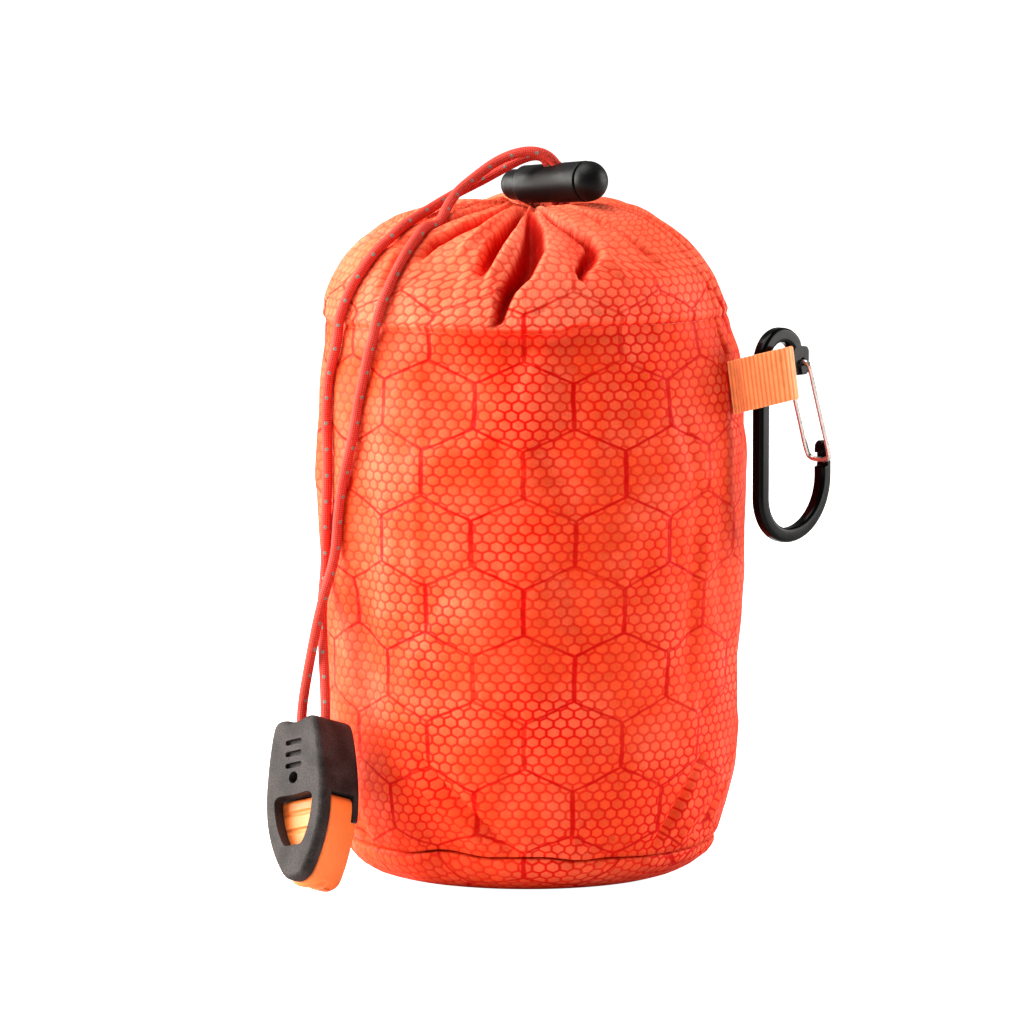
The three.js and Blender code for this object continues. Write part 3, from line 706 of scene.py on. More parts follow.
@dataclass(frozen=True)
class RipstopFinish:
    """Thin coated cloth with a woven honeycomb inside a wide hexagon grid."""

    cell: Color = (0.76, 0.058, 0.014)
    # Paler cells, used for random pale patches and for painted light above the hem
    cell_pale: Color = (0.84, 0.155, 0.08)
    line: Color = (0.62, 0.002, 0.0002)
    wide_line: Color = (0.54, 0.001, 0.0001)
    # Painted shade: the deep red that the pleats' valleys and the band under the hem are darkened towards
    deep: Color = (0.52, 0.001, 0.0001)
    small_width: float = 3.3996
    wide_width: float = 24.843
    flatten: float = 0.7437
    wide_shift: Spot = (2.18 * MM, 0.0, 0.0)

    def build(self, effects: Effects) -> Material:
        """Builds the material.

        Args:
            effects: Shader groups in use.

        Returns:
            The cloth's material.
        """
        material, graph, shader = blank("honeycomb_ripstop")
        flat, place = graph.cloth_map(), graph.place()
        sway = graph.add("ShaderNodeTexNoise", {"Vector": place, "Scale": 220.0, "Detail": 1.0})
        drift = graph.vcalc("SUBTRACT", sway.outputs["Color"], (0.5, 0.5, 0.5))
        drifted = graph.vcalc("ADD", flat, graph.vcalc("MULTIPLY", drift, (0.0007, 0.0005, 0.0)))
        shifted = graph.vcalc("ADD", drifted, self.wide_shift)
        sizes = ((drifted, self.small_width, 0.09), (shifted, self.wide_width, 0.004))
        small, wide = (
            graph.use(effects.honeycomb, Vector=at, Width=width, Flatten=self.flatten, Rounding=soft).outputs
            for at, width, soft in sizes
        )
        across, _, height = graph.split(place)
        thin = graph.remap(small["Border"], 0.16, 0.56, 1, 0)
        ragged = graph.plus(wide["Border"], graph.times(graph.noise(place, 1.1), 0.25))
        inset = graph.minus(ragged, graph.times(wide["Upright"], 0.22))
        low = graph.remap(height, 136 * MM, 152 * MM, 1, 0.25)
        broad = graph.times(graph.remap(inset, 0.3, 0.76, 1, 0), low)
        faint = graph.remap(height, 132 * MM, 156 * MM, 1, 0.55)
        # Painted glare: the thin lines fade towards the left, where the key light falls strongest
        painted_glare = graph.remap(across, -47 * MM, -22 * MM, 0.5, 1)
        patchy = graph.times(graph.remap(graph.noise(place, 26), 0.35, 0.68, 0.66, 1.0), faint)
        thin = graph.times(thin, graph.times(patchy, painted_glare))
        patch_wide = graph.remap(graph.noise(place, 17), 0.3, 0.6, 0.6, 1.0)
        # Marks of the wall: painted light above the hem, and painted shade in the pleats and under the hem
        folded, painted_shade = graph.mark("folded"), graph.mark("painted_shade")
        # Random pale patches, plus painted light above the hem from the folded mark
        pale = graph.plus(graph.remap(graph.noise(place, 14, 3, 0.6), 0.4, 0.7, 0, 0.42), folded)
        tint = graph.gray(graph.remap(small["Cell"], 0, 1, 0.93, 1.05))
        fleck = graph.gray(graph.remap(graph.noise(place, 0.5, 2, 0.7), 0.3, 0.7, 0.9, 1.08))
        color = graph.vcalc("MULTIPLY", graph.mix(pale, self.cell, self.cell_pale), tint)
        color = graph.mix(thin, graph.vcalc("MULTIPLY", color, fleck), self.line)
        color = graph.mix(graph.times(broad, patch_wide), color, self.wide_line)
        # Painted shade: darkens the pleats' valleys and paints a shadow under the hem
        color = graph.mix(graph.times(painted_shade, 0.92), color, self.deep)
        relief = graph.minus(graph.remap(small["Border"], 0.0, 1.1, 0, 1), graph.times(broad, 0.5))
        relief = graph.times(relief, graph.minus(1.0, painted_shade))
        drawn = graph.vcalc("MULTIPLY", flat, (1.0, 0.2, 1.0))
        wrinkle = graph.times(graph.noise(drawn, 2.4, 3, 0.6), folded)
        normal = graph.bump(0.8, 0.13 * MM, relief)
        normal = graph.bump(0.5, 0.05 * MM, graph.noise(place, 0.42, 3, 0.6), normal)
        normal = graph.bump(0.55, 0.7 * MM, graph.noise(place, 6.5, 3, 0.55), normal)
        normal = graph.bump(0.7, 0.9 * MM, wrinkle, normal)
        rough = graph.remap(graph.noise(place, 9, 3), 0.3, 0.7, 0.5, 0.64)
        feeds = {"Base Color": color, "Normal": normal, "Roughness": rough}
        graph.feed(shader, {**feeds, "Specular IOR Level": 0.06, "IOR": 1.48})
        return material


@dataclass(frozen=True)
class ThreadFinish:
    """Plain sewing thread."""

    color: Color = (0.8, 0.045, 0.008)

    def build(self) -> Material:
        """Builds the thread's material.

        Returns:
            The material.
        """
        material, graph, shader = blank("sewing_thread")
        share = graph.remap(graph.noise(graph.place(), 0.6), 0.3, 0.7, 0, 1)
        color = graph.mix(share, self.color, tuple(c * 0.7 for c in self.color))
        graph.feed(shader, {"Base Color": color, "Roughness": 0.6})
        return material


@dataclass(frozen=True)
class WebbingFinish:
    """Ribbed webbing, with painted light on the ribs' tops and painted shade in the grooves between them."""

    # Painted light on the ribs' tops and painted shade in the grooves
    top: Color = (1.0, 0.34, 0.1)
    groove: Color = (0.9, 0.17, 0.035)
    rib_pitch: float = 1.02

    def build(self) -> Material:
        """Builds the webbing's material.

        Returns:
            The material, whose UV runs across the ribs along its second axis.
        """
        material, graph, shader = blank("ribbed_webbing")
        flat = graph.cloth_map()
        turns = graph.times(graph.split(flat)[1], 2 * math.pi / (self.rib_pitch * MM))
        # Rib mask for the painted light and shade across the ribs
        rib = graph.remap(graph.calc("COSINE", turns), -0.9, 0.35, 0, 1)
        fibre = graph.vcalc("MULTIPLY", flat, (9000.0, 2600.0, 1.0))
        fine = graph.add("ShaderNodeTexNoise", {"Vector": fibre, "Scale": 1.0, "Detail": 2.0}).outputs[0]
        blotch = graph.remap(graph.noise(graph.place(), 3), 0.3, 0.7, 0.88, 1.06)
        tone = graph.gray(graph.times(blotch, graph.remap(fine, 0.3, 0.7, 0.9, 1.08)))
        color = graph.vcalc("MULTIPLY", graph.mix(rib, self.groove, self.top), tone)
        feeds = {"Base Color": color, "Normal": graph.bump(0.6, 0.06 * MM, fine), "Roughness": 0.62}
        graph.feed(shader, {**feeds, "Sheen Weight": 0.25, "Sheen Tint": (1.0, 0.8, 0.65, 1.0)})
        return material


@dataclass(frozen=True)
class BraidFinish:
    """Braided cord with a reflective fleck at every repeat."""

    color: Color = (0.58, 0.052, 0.032)
    shade: Color = (0.4, 0.014, 0.008)
    fleck: Color = (0.16, 0.2, 0.17)
    strands: int = 8
    stitch: float = 1.05
    fleck_pitch: float = 6.2
    flecks_around: float = 2.0
    fleck_length: float = 1.2

    def build(self) -> Material:
        """Builds the cord's material.

        Returns:
            The material, whose UV runs round the cord and along it.
        """
        material, graph, shader = blank("braided_cord")
        around, along, _ = graph.split(graph.cloth_map())
        along = graph.calc("DIVIDE", along, MM)
        turn = graph.times(around, self.strands * 2 * math.pi)
        run = graph.times(along, 2 * math.pi / self.stitch)
        left, right = graph.calc("SINE", graph.plus(turn, run)), graph.calc("SINE", graph.minus(turn, run))
        knit = graph.remap(graph.times(left, right), -0.7, 0.6, 0, 1)
        fuzz = graph.noise(graph.place(), 0.35, 3, 0.7)
        tone = graph.gray(graph.remap(fuzz, 0.3, 0.7, 0.85, 1.1))
        color = graph.vcalc("MULTIPLY", graph.mix(knit, self.shade, self.color), tone)
        step_along = graph.calc("FRACT", graph.calc("DIVIDE", along, self.fleck_pitch))
        off_along = graph.times(graph.minus(step_along, 0.5), self.fleck_pitch)
        step_round = graph.calc("FRACT", graph.times(around, self.flecks_around))
        off_round = graph.times(graph.minus(step_round, 0.5), math.pi * self.fleck_length)
        mask = graph.remap(graph.vcalc("LENGTH", graph.vector(off_round, off_along)), 0.36, 0.52, 1, 0)
        feeds = {
            "Base Color": graph.mix(mask, color, self.fleck),
            "Normal": graph.bump(0.8, 0.09 * MM, graph.plus(knit, graph.times(fuzz, 0.4))),
            "Roughness": graph.remap(mask, 0, 1, 0.7, 0.35),
            "Specular IOR Level": 0.2,
        }
        graph.feed(shader, feeds)
        return material


@dataclass(frozen=True)
class HardFinish:
    """Moulded plastic or coated metal with grain, blotches and rubbed edges."""

    name: str
    color: Color
    worn: Color
    rough: Pair
    grain_size: float
    grain_depth: float
    wear: float = 0.3
    mottle: float = 1.0
    specular: float = 0.5
    metallic: float = 0.0
    subsurface: float = 0.0

    def build(self, effects: Effects) -> Material:
        """Builds the material.

        Args:
            effects: Shader groups in use.

        Returns:
            The hard piece's material.
        """
        material, graph, shader = blank(self.name)
        place, spread = graph.place(), 0.12 * self.mottle
        grain = graph.use(effects.grain, Size=self.grain_size, Depth=self.grain_depth).outputs
        rubbed = graph.use(effects.wear, Amount=self.wear).outputs["Mask"]
        blotch = graph.remap(graph.noise(place, 5, 3), 0.3, 0.7, 1 - spread, 1 + spread)
        speck = graph.remap(grain["Height"], 0.3, 0.7, 1 - spread, 1 + spread)
        base = graph.vcalc("MULTIPLY", graph.gray(graph.times(blotch, speck)), self.color)
        feeds = {
            "Base Color": graph.mix(rubbed, base, self.worn),
            "Roughness": graph.remap(graph.noise(place, 2.5, 4, 0.6), 0.3, 0.7, *self.rough),
            "Normal": grain["Normal"],
            "Metallic": self.metallic,
            "Specular IOR Level": self.specular,
        }
        if self.subsurface:
            feeds |= {"Subsurface Weight": self.subsurface, "Subsurface Scale": 1.2 * MM}
            feeds["Subsurface Radius"] = (1.0, 0.4, 0.15)
        graph.feed(shader, feeds)
        return material


@dataclass
class Finishes:
    """Every material of the object."""

    effects: Effects = field(default_factory=Effects)

    def __post_init__(self) -> None:
        """Builds the materials."""
        self.cloth = RipstopFinish().build(self.effects)
        self.thread = ThreadFinish().build()
        self.webbing = WebbingFinish().build()
        self.cord = BraidFinish().build()
        hard = (
            HardFinish(
                "matte_black_plastic", (0.002, 0.002, 0.002), (0.02, 0.02, 0.02), (0.36, 0.48),
                0.35, 0.03, specular=0.12,
            ),
            HardFinish(
                "black_coated_metal", (0.001, 0.001, 0.001), (0.012, 0.01, 0.01), (0.12, 0.2),
                0.8, 0.006, 0.2, specular=0.07,
            ),
            HardFinish(
                "drawn_steel", (0.5, 0.45, 0.43), (0.62, 0.57, 0.55), (0.22, 0.34),
                0.5, 0.004, 0.3, metallic=0.85,
            ),
            HardFinish(
                "grained_dark_plastic", (0.026, 0.021, 0.02), (0.055, 0.048, 0.048), (0.52, 0.64),
                0.34, 0.12, 0.3, 3.2, 0.1,
            ),
            HardFinish(
                "orange_plastic", (0.88, 0.19, 0.034), (0.92, 0.26, 0.06), (0.4, 0.5),
                0.9, 0.004, 0.06, 0.3, 0.3, subsurface=0.1,
            ),
        )
        self.lock, self.carabiner, self.wire, self.housing, self.insert = (
            finish.build(self.effects) for finish in hard
        )


# Outline of the sack from the bottom seam to the mouth: height, and radius left, right, front
# and back
WALL_ROWS = np.array(
    [
        (9.1, 44.2, 44.0, 44.0, 44.2), (11.5, 45.5, 45.0, 45.3, 45.3), (17, 47.2, 46.8, 47.1, 47.0),
        (25, 48.2, 48.1, 48.3, 48.0), (36, 48.8, 49.0, 49.1, 48.7), (50, 49.4, 49.8, 49.8, 49.3),
        (65, 50.2, 50.4, 50.4, 50.2), (80, 51.2, 51.0, 51.0, 51.0), (95, 51.6, 51.5, 51.3, 51.4),
        (108, 51.4, 51.6, 51.0, 51.2), (118, 50.7, 50.8, 50.3, 50.5), (126, 49.9, 49.3, 49.5, 49.6),
        (134, 49.6, 46.9, 48.5, 48.3), (139, 49.2, 44.8, 47.4, 46.9), (144, 47.2, 42.7, 45.6, 45.2),
        (148.5, 44.2, 39.8, 42.6, 42.3), (152, 40.9, 36.8, 39.2, 39.3), (155, 37.0, 32.9, 35.2, 35.3),
        (157.6, 31.5, 28.9, 30.2, 30.4), (159.5, 25.5, 25.0, 25.2, 25.2), (160.7, 19.0, 20.5, 20.0, 19.0),
        (160.8, 13.5, 16.5, 16.5, 13.5), (160.2, 8.5, 12.5, 12.5, 8.5), (159.6, 4.5, 8.5, 8.5, 4.5),
    ]
)

# Outline of the bottom panel from the ground to the seam, in the same way
PANEL_ROWS = np.array(
    [
        (0, 31.5, 29.5, 31, 30.5), (0.4, 35.2, 32.8, 34.2, 34), (1.4, 38.8, 36.3, 37.4, 37.4),
        (3.2, 41.7, 39.7, 40.6, 40.6), (5.6, 43.7, 42.9, 43.2, 43.2), (7.6, 44.4, 44.0, 44.2, 44.2),
        (8.8, 44.1, 43.9, 43.9, 44.0),
    ]
)


@dataclass(frozen=True)
class Pleat:
    """One pleat from the mouth: degrees from the front at each end, reach, bend, width, depth."""

    mouth_at: float
    foot_at: float
    reach: float
    bend: float
    width: float
    depth: float


@dataclass(frozen=True)
class Fold:
    """One fold that winds over the gathered cloth.

    Each stop holds degrees from the front, distance from the mouth, width and depth, and a
    negative depth makes a ridge. With a lean above zero the fold is steep on its left and
    gentle on its right, seen down its run. A fullness below one makes it fuller across.
    """

    stops: tuple[tuple[float, float, float, float], ...]
    lean: float = 0.0
    fullness: float = 1.0

    def depth(self, degrees: Array, mouth: Array, radius: Array) -> Array:
        """How far the cloth sinks into the fold.

        Args:
            degrees: Angles of the places from the front.
            mouth: Their distances from the mouth along the cloth.
            radius: Their distances from the axis.

        Returns:
            Depth at each place, in millimetres.
        """
        deepest = np.zeros(np.broadcast(degrees, mouth, radius).shape)
        for near, far in zip(self.stops, self.stops[1:]):
            across = np.radians(apart(degrees, near[0])) * radius
            down = mouth - near[1]
            run = (math.radians(far[0] - near[0]) * radius, far[1] - near[1])
            share = (across * run[0] + down * run[1]) / (run[0] ** 2 + run[1] ** 2)
            share = np.clip(share, 0, 1)
            off_x, off_y = across - share * run[0], down - share * run[1]
            side = np.sign(off_x * run[1] - off_y * run[0])
            width = near[2] + (far[2] - near[2]) * share
            depth = near[3] + (far[3] - near[3]) * share
            reach = width * (1 + self.lean * side)
            sunk = depth * trough(np.hypot(off_x, off_y), reach) ** self.fullness
            deepest = np.where(np.abs(sunk) > np.abs(deepest), sunk, deepest)
        return deepest


@dataclass(frozen=True)
class Crease:
    """One soft crease of the body: degrees and heights of its ends, width and depth."""

    top_at: float
    foot_at: float
    top: float
    foot: float
    width: float
    depth: float


PLEATS = tuple(
    Pleat(*row)
    for row in (
        (84, 90, 52, 1, 6, 1.6), (104, 109, 44, 1, 8, 2.4), (131, 138, 60, 2, 8, 4.4),
        (152, 155, 40, 1, 7, 2.4), (171, 179, 62, 2.5, 8, 5.2), (197, 190, 42, 1, 7, 2.4),
        (226, 218, 54, 1.5, 9, 4.0), (246, 240, 44, 1, 7, 2.2), (268, 262, 54, 1, 7, 2.2),
    )
)
FOLDS = (
    Fold(
        (
            (-2, 10, 1.5, 0.3), (-1.8, 18, 2.6, 1.8), (-1.6, 27, 4, 5), (-1, 33, 5.6, 8),
            (-1.4, 40, 7, 9.5), (-4.2, 47, 6.4, 8.6), (-7.6, 51.5, 4.8, 7), (-8.9, 55.5, 4, 5.8),
            (-9.8, 59.5, 3.2, 4), (-11.2, 61.5, 2, 0.6),
        ),
        0.35, 0.75,
    ),
    Fold(
        (
            (-5, 10, 1.2, 0.3), (-6.5, 18, 2.2, 1.6), (-8.4, 26, 3.4, 5), (-11.3, 34, 4.8, 7.8),
            (-14.4, 40, 5.4, 6.6), (-15.3, 46, 4.2, 3.4), (-16, 50.5, 2.5, 0),
        ),
        0.25, 0.8,
    ),
    Fold(((-3.2, 22, 3.4, -0.3), (-8, 40, 5.5, -1.5), (-12, 48.5, 4, -0.9), (-13, 55, 3, 0))),
    Fold(((-12, 20, 3.5, -0.4), (-18.5, 33, 5, -1.7), (-22.6, 39, 5, -1.2), (-26, 47, 4, 0))),
    Fold(
        (
            (-12, 10, 1.6, 0.4), (-21, 26, 4.2, 4.8), (-29, 33, 5.6, 6), (-36.5, 39.5, 5, 4),
            (-39, 46, 4, 0),
        ),
        0.0, 0.85,
    ),
    Fold(
        (
            (-26, 10, 1.8, 0.6), (-37, 24.5, 3.6, 3), (-43, 30, 4.6, 3.4), (-49, 37, 4.6, 2.2),
            (-53, 43, 3.5, 0),
        ),
    ),
    Fold(((-45.5, 33, 2.5, 0), (-47.5, 38, 4, 2), (-47.8, 50, 3.6, 1.8), (-48.5, 57, 2.5, 0))),
    Fold(
        (
            (-44, 10, 1.8, 0.6), (-60, 33, 4, 2.4), (-74, 38, 4.2, 2.6), (-83, 44, 4, 2.4),
            (-84, 51, 3.6, 1.8), (-78, 58, 2.5, 0),
        ),
    ),
    Fold(((-53, 37, 2.5, 0), (-56, 41, 3, 1.2), (-60, 44, 3, 1), (-63, 48, 2, 0))),
    Fold(((-66, 8, 1.6, 0.5), (-76, 26, 3.4, 1.8), (-92, 40, 3.6, 1.6), (-98, 52, 2.5, 0))),
    Fold(
        (
            (4, 8, 1.4, 0.6), (9, 25, 1.8, 1.7), (12, 29, 1.8, 2.2), (15.5, 32.5, 1.9, 2.4),
            (19, 36, 2.3, 2.8), (21.5, 39, 3.6, 4), (21.8, 42, 5, 4.8), (18.6, 45, 5.4, 4.4),
            (15.5, 47.5, 4, 2.6), (14.5, 51, 3, 0),
        ),
    ),
    Fold(
        (
            (5, 12, 7, 0.4), (12, 29, 10, 1.3), (18, 36, 11, 1.8), (18, 43, 10, 1.6), (14, 51, 7, 0),
        ),
        -0.85,
    ),
    Fold(((15, 47, 3, 1.6), (17.2, 51.8, 2.6, 1), (18.6, 56, 2, 0))),
    Fold(((22.5, 40.5, 4, 0), (25, 44.5, 5, -1.2), (28.4, 48.7, 4, -0.9), (31, 52, 3, 0))),
    Fold(
        (
            (20, 12, 1.4, 0.3), (35, 28.6, 2.4, 1.1), (39, 35, 2.6, 1.3), (42, 41.7, 2.6, 1.1),
            (49, 52, 2, 0),
        ),
    ),
    Fold(((36, 31, 2.5, 0), (42, 38, 3, -0.8), (46, 43.5, 3, -0.7), (50, 49, 2.5, 0))),
    Fold(((28, 22, 2, 0), (33, 30, 3.6, 1.2), (34, 36, 3, 0.7), (33, 41, 2, 0))),
    Fold(
        (
            (54, 8, 1.4, 0.4), (67.5, 29, 2.8, 2), (67, 39, 3.4, 2.6), (67.6, 48, 3.4, 2.6),
            (70.5, 52, 3.2, 2.4), (69.4, 57.5, 3.2, 2.2), (67.6, 64.4, 3.2, 2), (69, 69.4, 4.2, 2.6),
            (70, 76, 4, 1), (70, 82, 3, 0),
        ),
        0.3,
    ),
    Fold(((70, 14, 2, 0.4), (77, 28, 4, 2), (78, 44, 5, 2.6), (78, 58, 5, 2.2), (77, 68, 3.5, 0)), -0.3),
    Fold(((168, 6, 4, -0.8), (176, 11, 7, -2), (180, 16, 7, -1.2), (184, 22, 5, 0))),
    Fold(((150, 6, 3, -0.6), (158, 12, 5, -1.5), (160, 20, 5, 0))),
    Fold(((-162, 7, 3, -0.6), (-168, 13, 5, -1.4), (-170, 20, 4, 0))),
    Fold(((-84, 6, 2.5, -0.9), (-90, 9.5, 3.4, -2.6), (-95, 14, 4, -1), (-98, 20, 4, 0))),
    Fold(((-62, 8, 2, -0.6), (-68, 12, 3, -1.8), (-70, 18, 3, -0.6), (-70, 24, 3, 0))),
    Fold(((-40, 8, 2, -0.4), (-42, 13, 2.6, -1.3), (-42, 20, 2.6, -0.5), (-42, 27, 2, 0))),
    Fold(((-22, 8, 1.8, -0.8), (-24, 12, 2.4, -1.6), (-22, 17, 2.4, -0.7), (-20, 23, 2, 0))),
    Fold(((-140, 6, 3, -1), (-148, 10, 4, -1.3), (-152, 15, 4, -0.7), (-156, 22, 3, 0))),
    Fold(((12.9, 57.1, 1.4, 0), (19, 58.6, 1.8, 0.5), (26.6, 59.8, 1.4, 0))),
    Fold(((26.6, 59.6, 1.4, 0), (33, 57, 1.8, 0.5), (40, 54, 1.4, 0))),
    Fold(((-1.6, 59.3, 1.4, 0), (2.6, 57.7, 1.7, 0.5), (6.8, 56.2, 1.4, 0))),
    Fold(((-40, 53.6, 1.4, 0), (-35, 55.6, 1.7, 0.45), (-30, 57.5, 1.4, 0))),
    Fold(((-18.8, 47, 1.4, 0), (-16, 48.5, 1.8, 0.6), (-13, 50, 1.4, 0))),
    Fold(((8.5, 45, 2.2, 0), (9.2, 52, 3, 0.5), (11.8, 62.3, 2.4, 0))),
    Fold(((36, 43, 2, 0), (45, 49, 2.4, 0.6), (48, 57, 2, 0))),
)
CREASES = tuple(
    Crease(*row)
    for row in (
        (-52, -54, 128, 26, 20, 1.7), (-31, -35, 118, 46, 7, -0.45), (-25, -12, 130, 98, 26, 1.7),
        (14, 6, 132, 92, 20, 1.3), (-22, -8, 96, 48, 24, -0.9), (8, 10, 84, 34, 20, 1.2),
        (41, 50, 118, 92, 8, 1), (50, 47, 97, 42, 9, 1.2), (60, 62, 104, 60, 8, 0.8),
        (-36, -4, 34, 8.8, 5, 2.4), (-43, -10, 33, 8.8, 5, -1.6), (-24, -12, 34, 17, 7, -0.7),
        (58, 38, 32, 8.8, 6, 2.4), (68, 48, 28, 8.8, 5, -0.9), (76, 56, 24, 8.8, 5, 1.6),
        (15, 12.6, 20, 8, 2.6, 1.1), (26, 14, 15.5, 9, 2, 0.8), (2, 11, 14.5, 9, 2, 0.7),
        (-66, -60, 40, 8, 9, 0.9), (118, 110, 124, 52, 16, 1.4), (150, 163, 112, 30, 22, 1.5),
        (199, 188, 130, 70, 18, 1.3), (228, 236, 96, 26, 20, 1.4), (262, 252, 120, 60, 14, 0.9),
        (128, 142, 28, 9, 9, 1.2), (212, 198, 26, 9, 9, 1.2),
    )
)


@dataclass(frozen=True)
class Ripple:
    """Uneven puckers round the sack: a main count that drifts, and a weaker second count."""

    count: int
    drift: float
    drifts: int
    share: float
    second: int
    start: float

    def at(self, angle: Array) -> Array:
        """Rise and fall at angles from the front, in radians."""
        main = np.sin(self.count * angle + self.drift * np.sin(self.drifts * angle))
        return main + self.share * np.sin(self.second * angle + self.start)


HEM_PUCKER = Ripple(37, 1.3, 5, 0.6, 61, 2.0)
SEAM_PUCKER = Ripple(41, 1.7, 4, 0.7, 23, 1.0)
MOUTH_RUFFLE = Ripple(26, 2.2, 3, 0.7, 43, 0.5)


def seam_lift(degrees: Array) -> Array:
    """Rise and fall of the bottom seam round the sack.

    Args:
        degrees: Angles from the front.

    Returns:
        Lift at each angle, in millimetres.
    """
    angle = np.radians(degrees)
    uneven = 0.35 * np.cos(2 * angle + math.radians(40)) + 0.3 * np.cos(5 * angle - math.radians(20))
    return uneven + 1.5 * trough(apart(degrees, -28), 30) - 0.7 * trough(apart(degrees, 14), 22)


def side_radius(columns: Array, degrees: Array) -> Array:
    """Radius of uneven rings at angles from the front.

    Args:
        columns: Left, right, front and back radius, one ring a row.
        degrees: Angles.

    Returns:
        Radii, one ring a row.
    """
    left, right, front, back = (columns[:, k, None] for k in range(4))
    across, along = np.sin(np.radians(degrees))[None], np.cos(np.radians(degrees))[None]
    wide, deep = (left + right) / 2 * across**2, (front + back) / 2 * along**2
    return wide + deep + (right - left) / 2 * across + (front - back) / 2 * along


@dataclass
class Sack:
    """The filled sack: its wall with pleats, creases and hem, and its bottom panel."""

    around: int = 470
    along: int = 203
    fine_reach: float = 64.0
    fine_pitch: float = 0.56
    broad_pitch: float = 1.3
    panel_around: int = 240
    panel_height: float = 8.8
    cloth_radius: float = 51.4
    pattern_height: float = 116.1
    hem_height: float = 133.7
    pleat_start: float = 5.0
    mouth_spot: Spot = (1.5, -1.5, 159.0)
    facet_count: int = 230
    facet_tilt: float = 0.05
    facet_blend: float = 1.1
    seed: int = 7

    def __post_init__(self) -> None:
        """Samples the outline along the cloth, closer together in the gathered part."""
        fine = self._even(WALL_ROWS, 0.25, 4.4)
        run = run_along(self._mean(fine))
        reach = run[-1] - self.fine_reach
        pitch = self.broad_pitch + (self.fine_pitch - self.broad_pitch) * step(run, reach - 12, reach)
        count = np.concatenate([[0], np.cumsum(np.diff(run) / pitch[1:])])
        self.run = np.interp(np.linspace(0, count[-1], self.along), count, run)
        rows = sampled(self.run, run, fine)
        self.height, self.sides = rows[:, 0], rows[:, 1:]
        self.radius = self.sides.mean(axis=1)
        slope = np.column_stack([np.gradient(self.radius), np.gradient(self.height)])
        self.slope = slope / np.linalg.norm(slope, axis=1, keepdims=True)
        self.mouth = run[-1] - self.run + self.radius[-1]
        self.degrees = np.arange(self.around) * 360 / self.around - 180

    @staticmethod
    def _mean(rows: Array) -> Array:
        """Mean radius and height of each row."""
        return np.column_stack([rows[:, 1:].mean(axis=1), rows[:, 0]])

    def _even(self, rows: Array, pitch: float, sigma: float) -> Array:
        """Makes outline rows even and smooth.

        Args:
            rows: Height, and radius on four sides.
            pitch: Distance between the new rows.
            sigma: Width of the smoothing, in new rows.

        Returns:
            The new rows.
        """
        run = run_along(self._mean(rows))
        even = sampled(np.arange(0, run[-1], pitch), run, rows)
        return np.column_stack([gaussian(column, sigma) for column in even.T])

    def _pleats(self, radius: Array) -> tuple[Array, Array]:
        """Pleats and folds of the gather, over the whole wall.

        Args:
            radius: Distance of each place from the axis.

        Returns:
            Their depth, and the spare cloth in each place.
        """
        depth, spare = np.zeros_like(radius), np.zeros_like(radius)
        mouth = self.mouth[:, None]
        for pleat in PLEATS:
            share = (mouth - self.pleat_start) / (pleat.reach - self.pleat_start)
            live = (share > 0) & (share < 1)
            share = np.clip(share, 0, 1)
            at = pleat.mouth_at + (pleat.foot_at - pleat.mouth_at) * share**pleat.bend
            off = np.radians(apart(self.degrees[None], at)) * radius
            width = pleat.width * (0.3 + 0.75 * np.sin(np.pi * share**0.9))
            deep = pleat.depth * step(share, 0, 0.3) * np.sqrt(1 - share**5) * live
            lips = trough(np.abs(off) - width * 0.62, width * 0.75)
            depth += deep * (trough(off, width) ** 1.3 - 0.16 * lips)
            spare += deep * trough(off, width * 1.15)
        for fold in FOLDS:
            sunk = fold.depth(self.degrees[None], mouth, radius)
            depth += sunk
            spare += np.abs(sunk)
        return depth, spare

    def _body_folds(self, radius: Array) -> Array:
        """Creases, hem, puckers of the seams and gathers at the mouth.

        Args:
            radius: Distance of each place from the axis.

        Returns:
            Their depth.
        """
        height, mouth, degrees = self.height[:, None], self.mouth[:, None], self.degrees[None]
        depth = np.zeros_like(radius)
        for crease in CREASES:
            share = (height - crease.foot) / (crease.top - crease.foot)
            live = (share > 0) & (share < 1)
            share = np.clip(share, 0, 1)
            at = crease.foot_at + (crease.top_at - crease.foot_at) * share
            off = np.radians(apart(degrees, at)) * radius
            depth += crease.depth * np.sin(np.pi * share) ** 0.6 * live * trough(off, crease.width)
        angle, hem = np.radians(degrees), self.hem_line(degrees)
        front = trough(apart(degrees, -2), 110)
        proud = 0.4 + 0.55 * front
        depth -= proud * step(height, hem - 0.5, hem + 0.4) * (1 - step(height, hem + 4, hem + 26))
        lip = 0.15 + 0.4 * trough(apart(degrees, -5), 44)
        depth -= lip * np.exp(-(((height - hem - 1.1) / 0.9) ** 2))
        depth += (0.3 + 0.25 * front) * np.exp(-(((height - hem + 0.8) / 0.8) ** 2))
        below = hem - height
        depth += 2.6 * front * step(below, 0.2, 2.5) * (1 - step(below, 2.5, 32))
        depth += 0.16 * HEM_PUCKER.at(angle) * np.exp(-np.abs(height - hem) / 5.0)
        depth += 0.24 * SEAM_PUCKER.at(angle) * np.exp(-(height - 9) / 6.0) * step(height, 9, 10.5)
        return depth + 0.55 * MOUTH_RUFFLE.at(angle) * step(mouth, 5, 8) * (1 - step(mouth, 9, 24))

    def hem_line(self, degrees: Array) -> Array:
        """Height of the stitched hem round the sack."""
        return self.hem_height + 1.5 * step(degrees, 6, 14) * (1 - step(degrees, 150, 179))

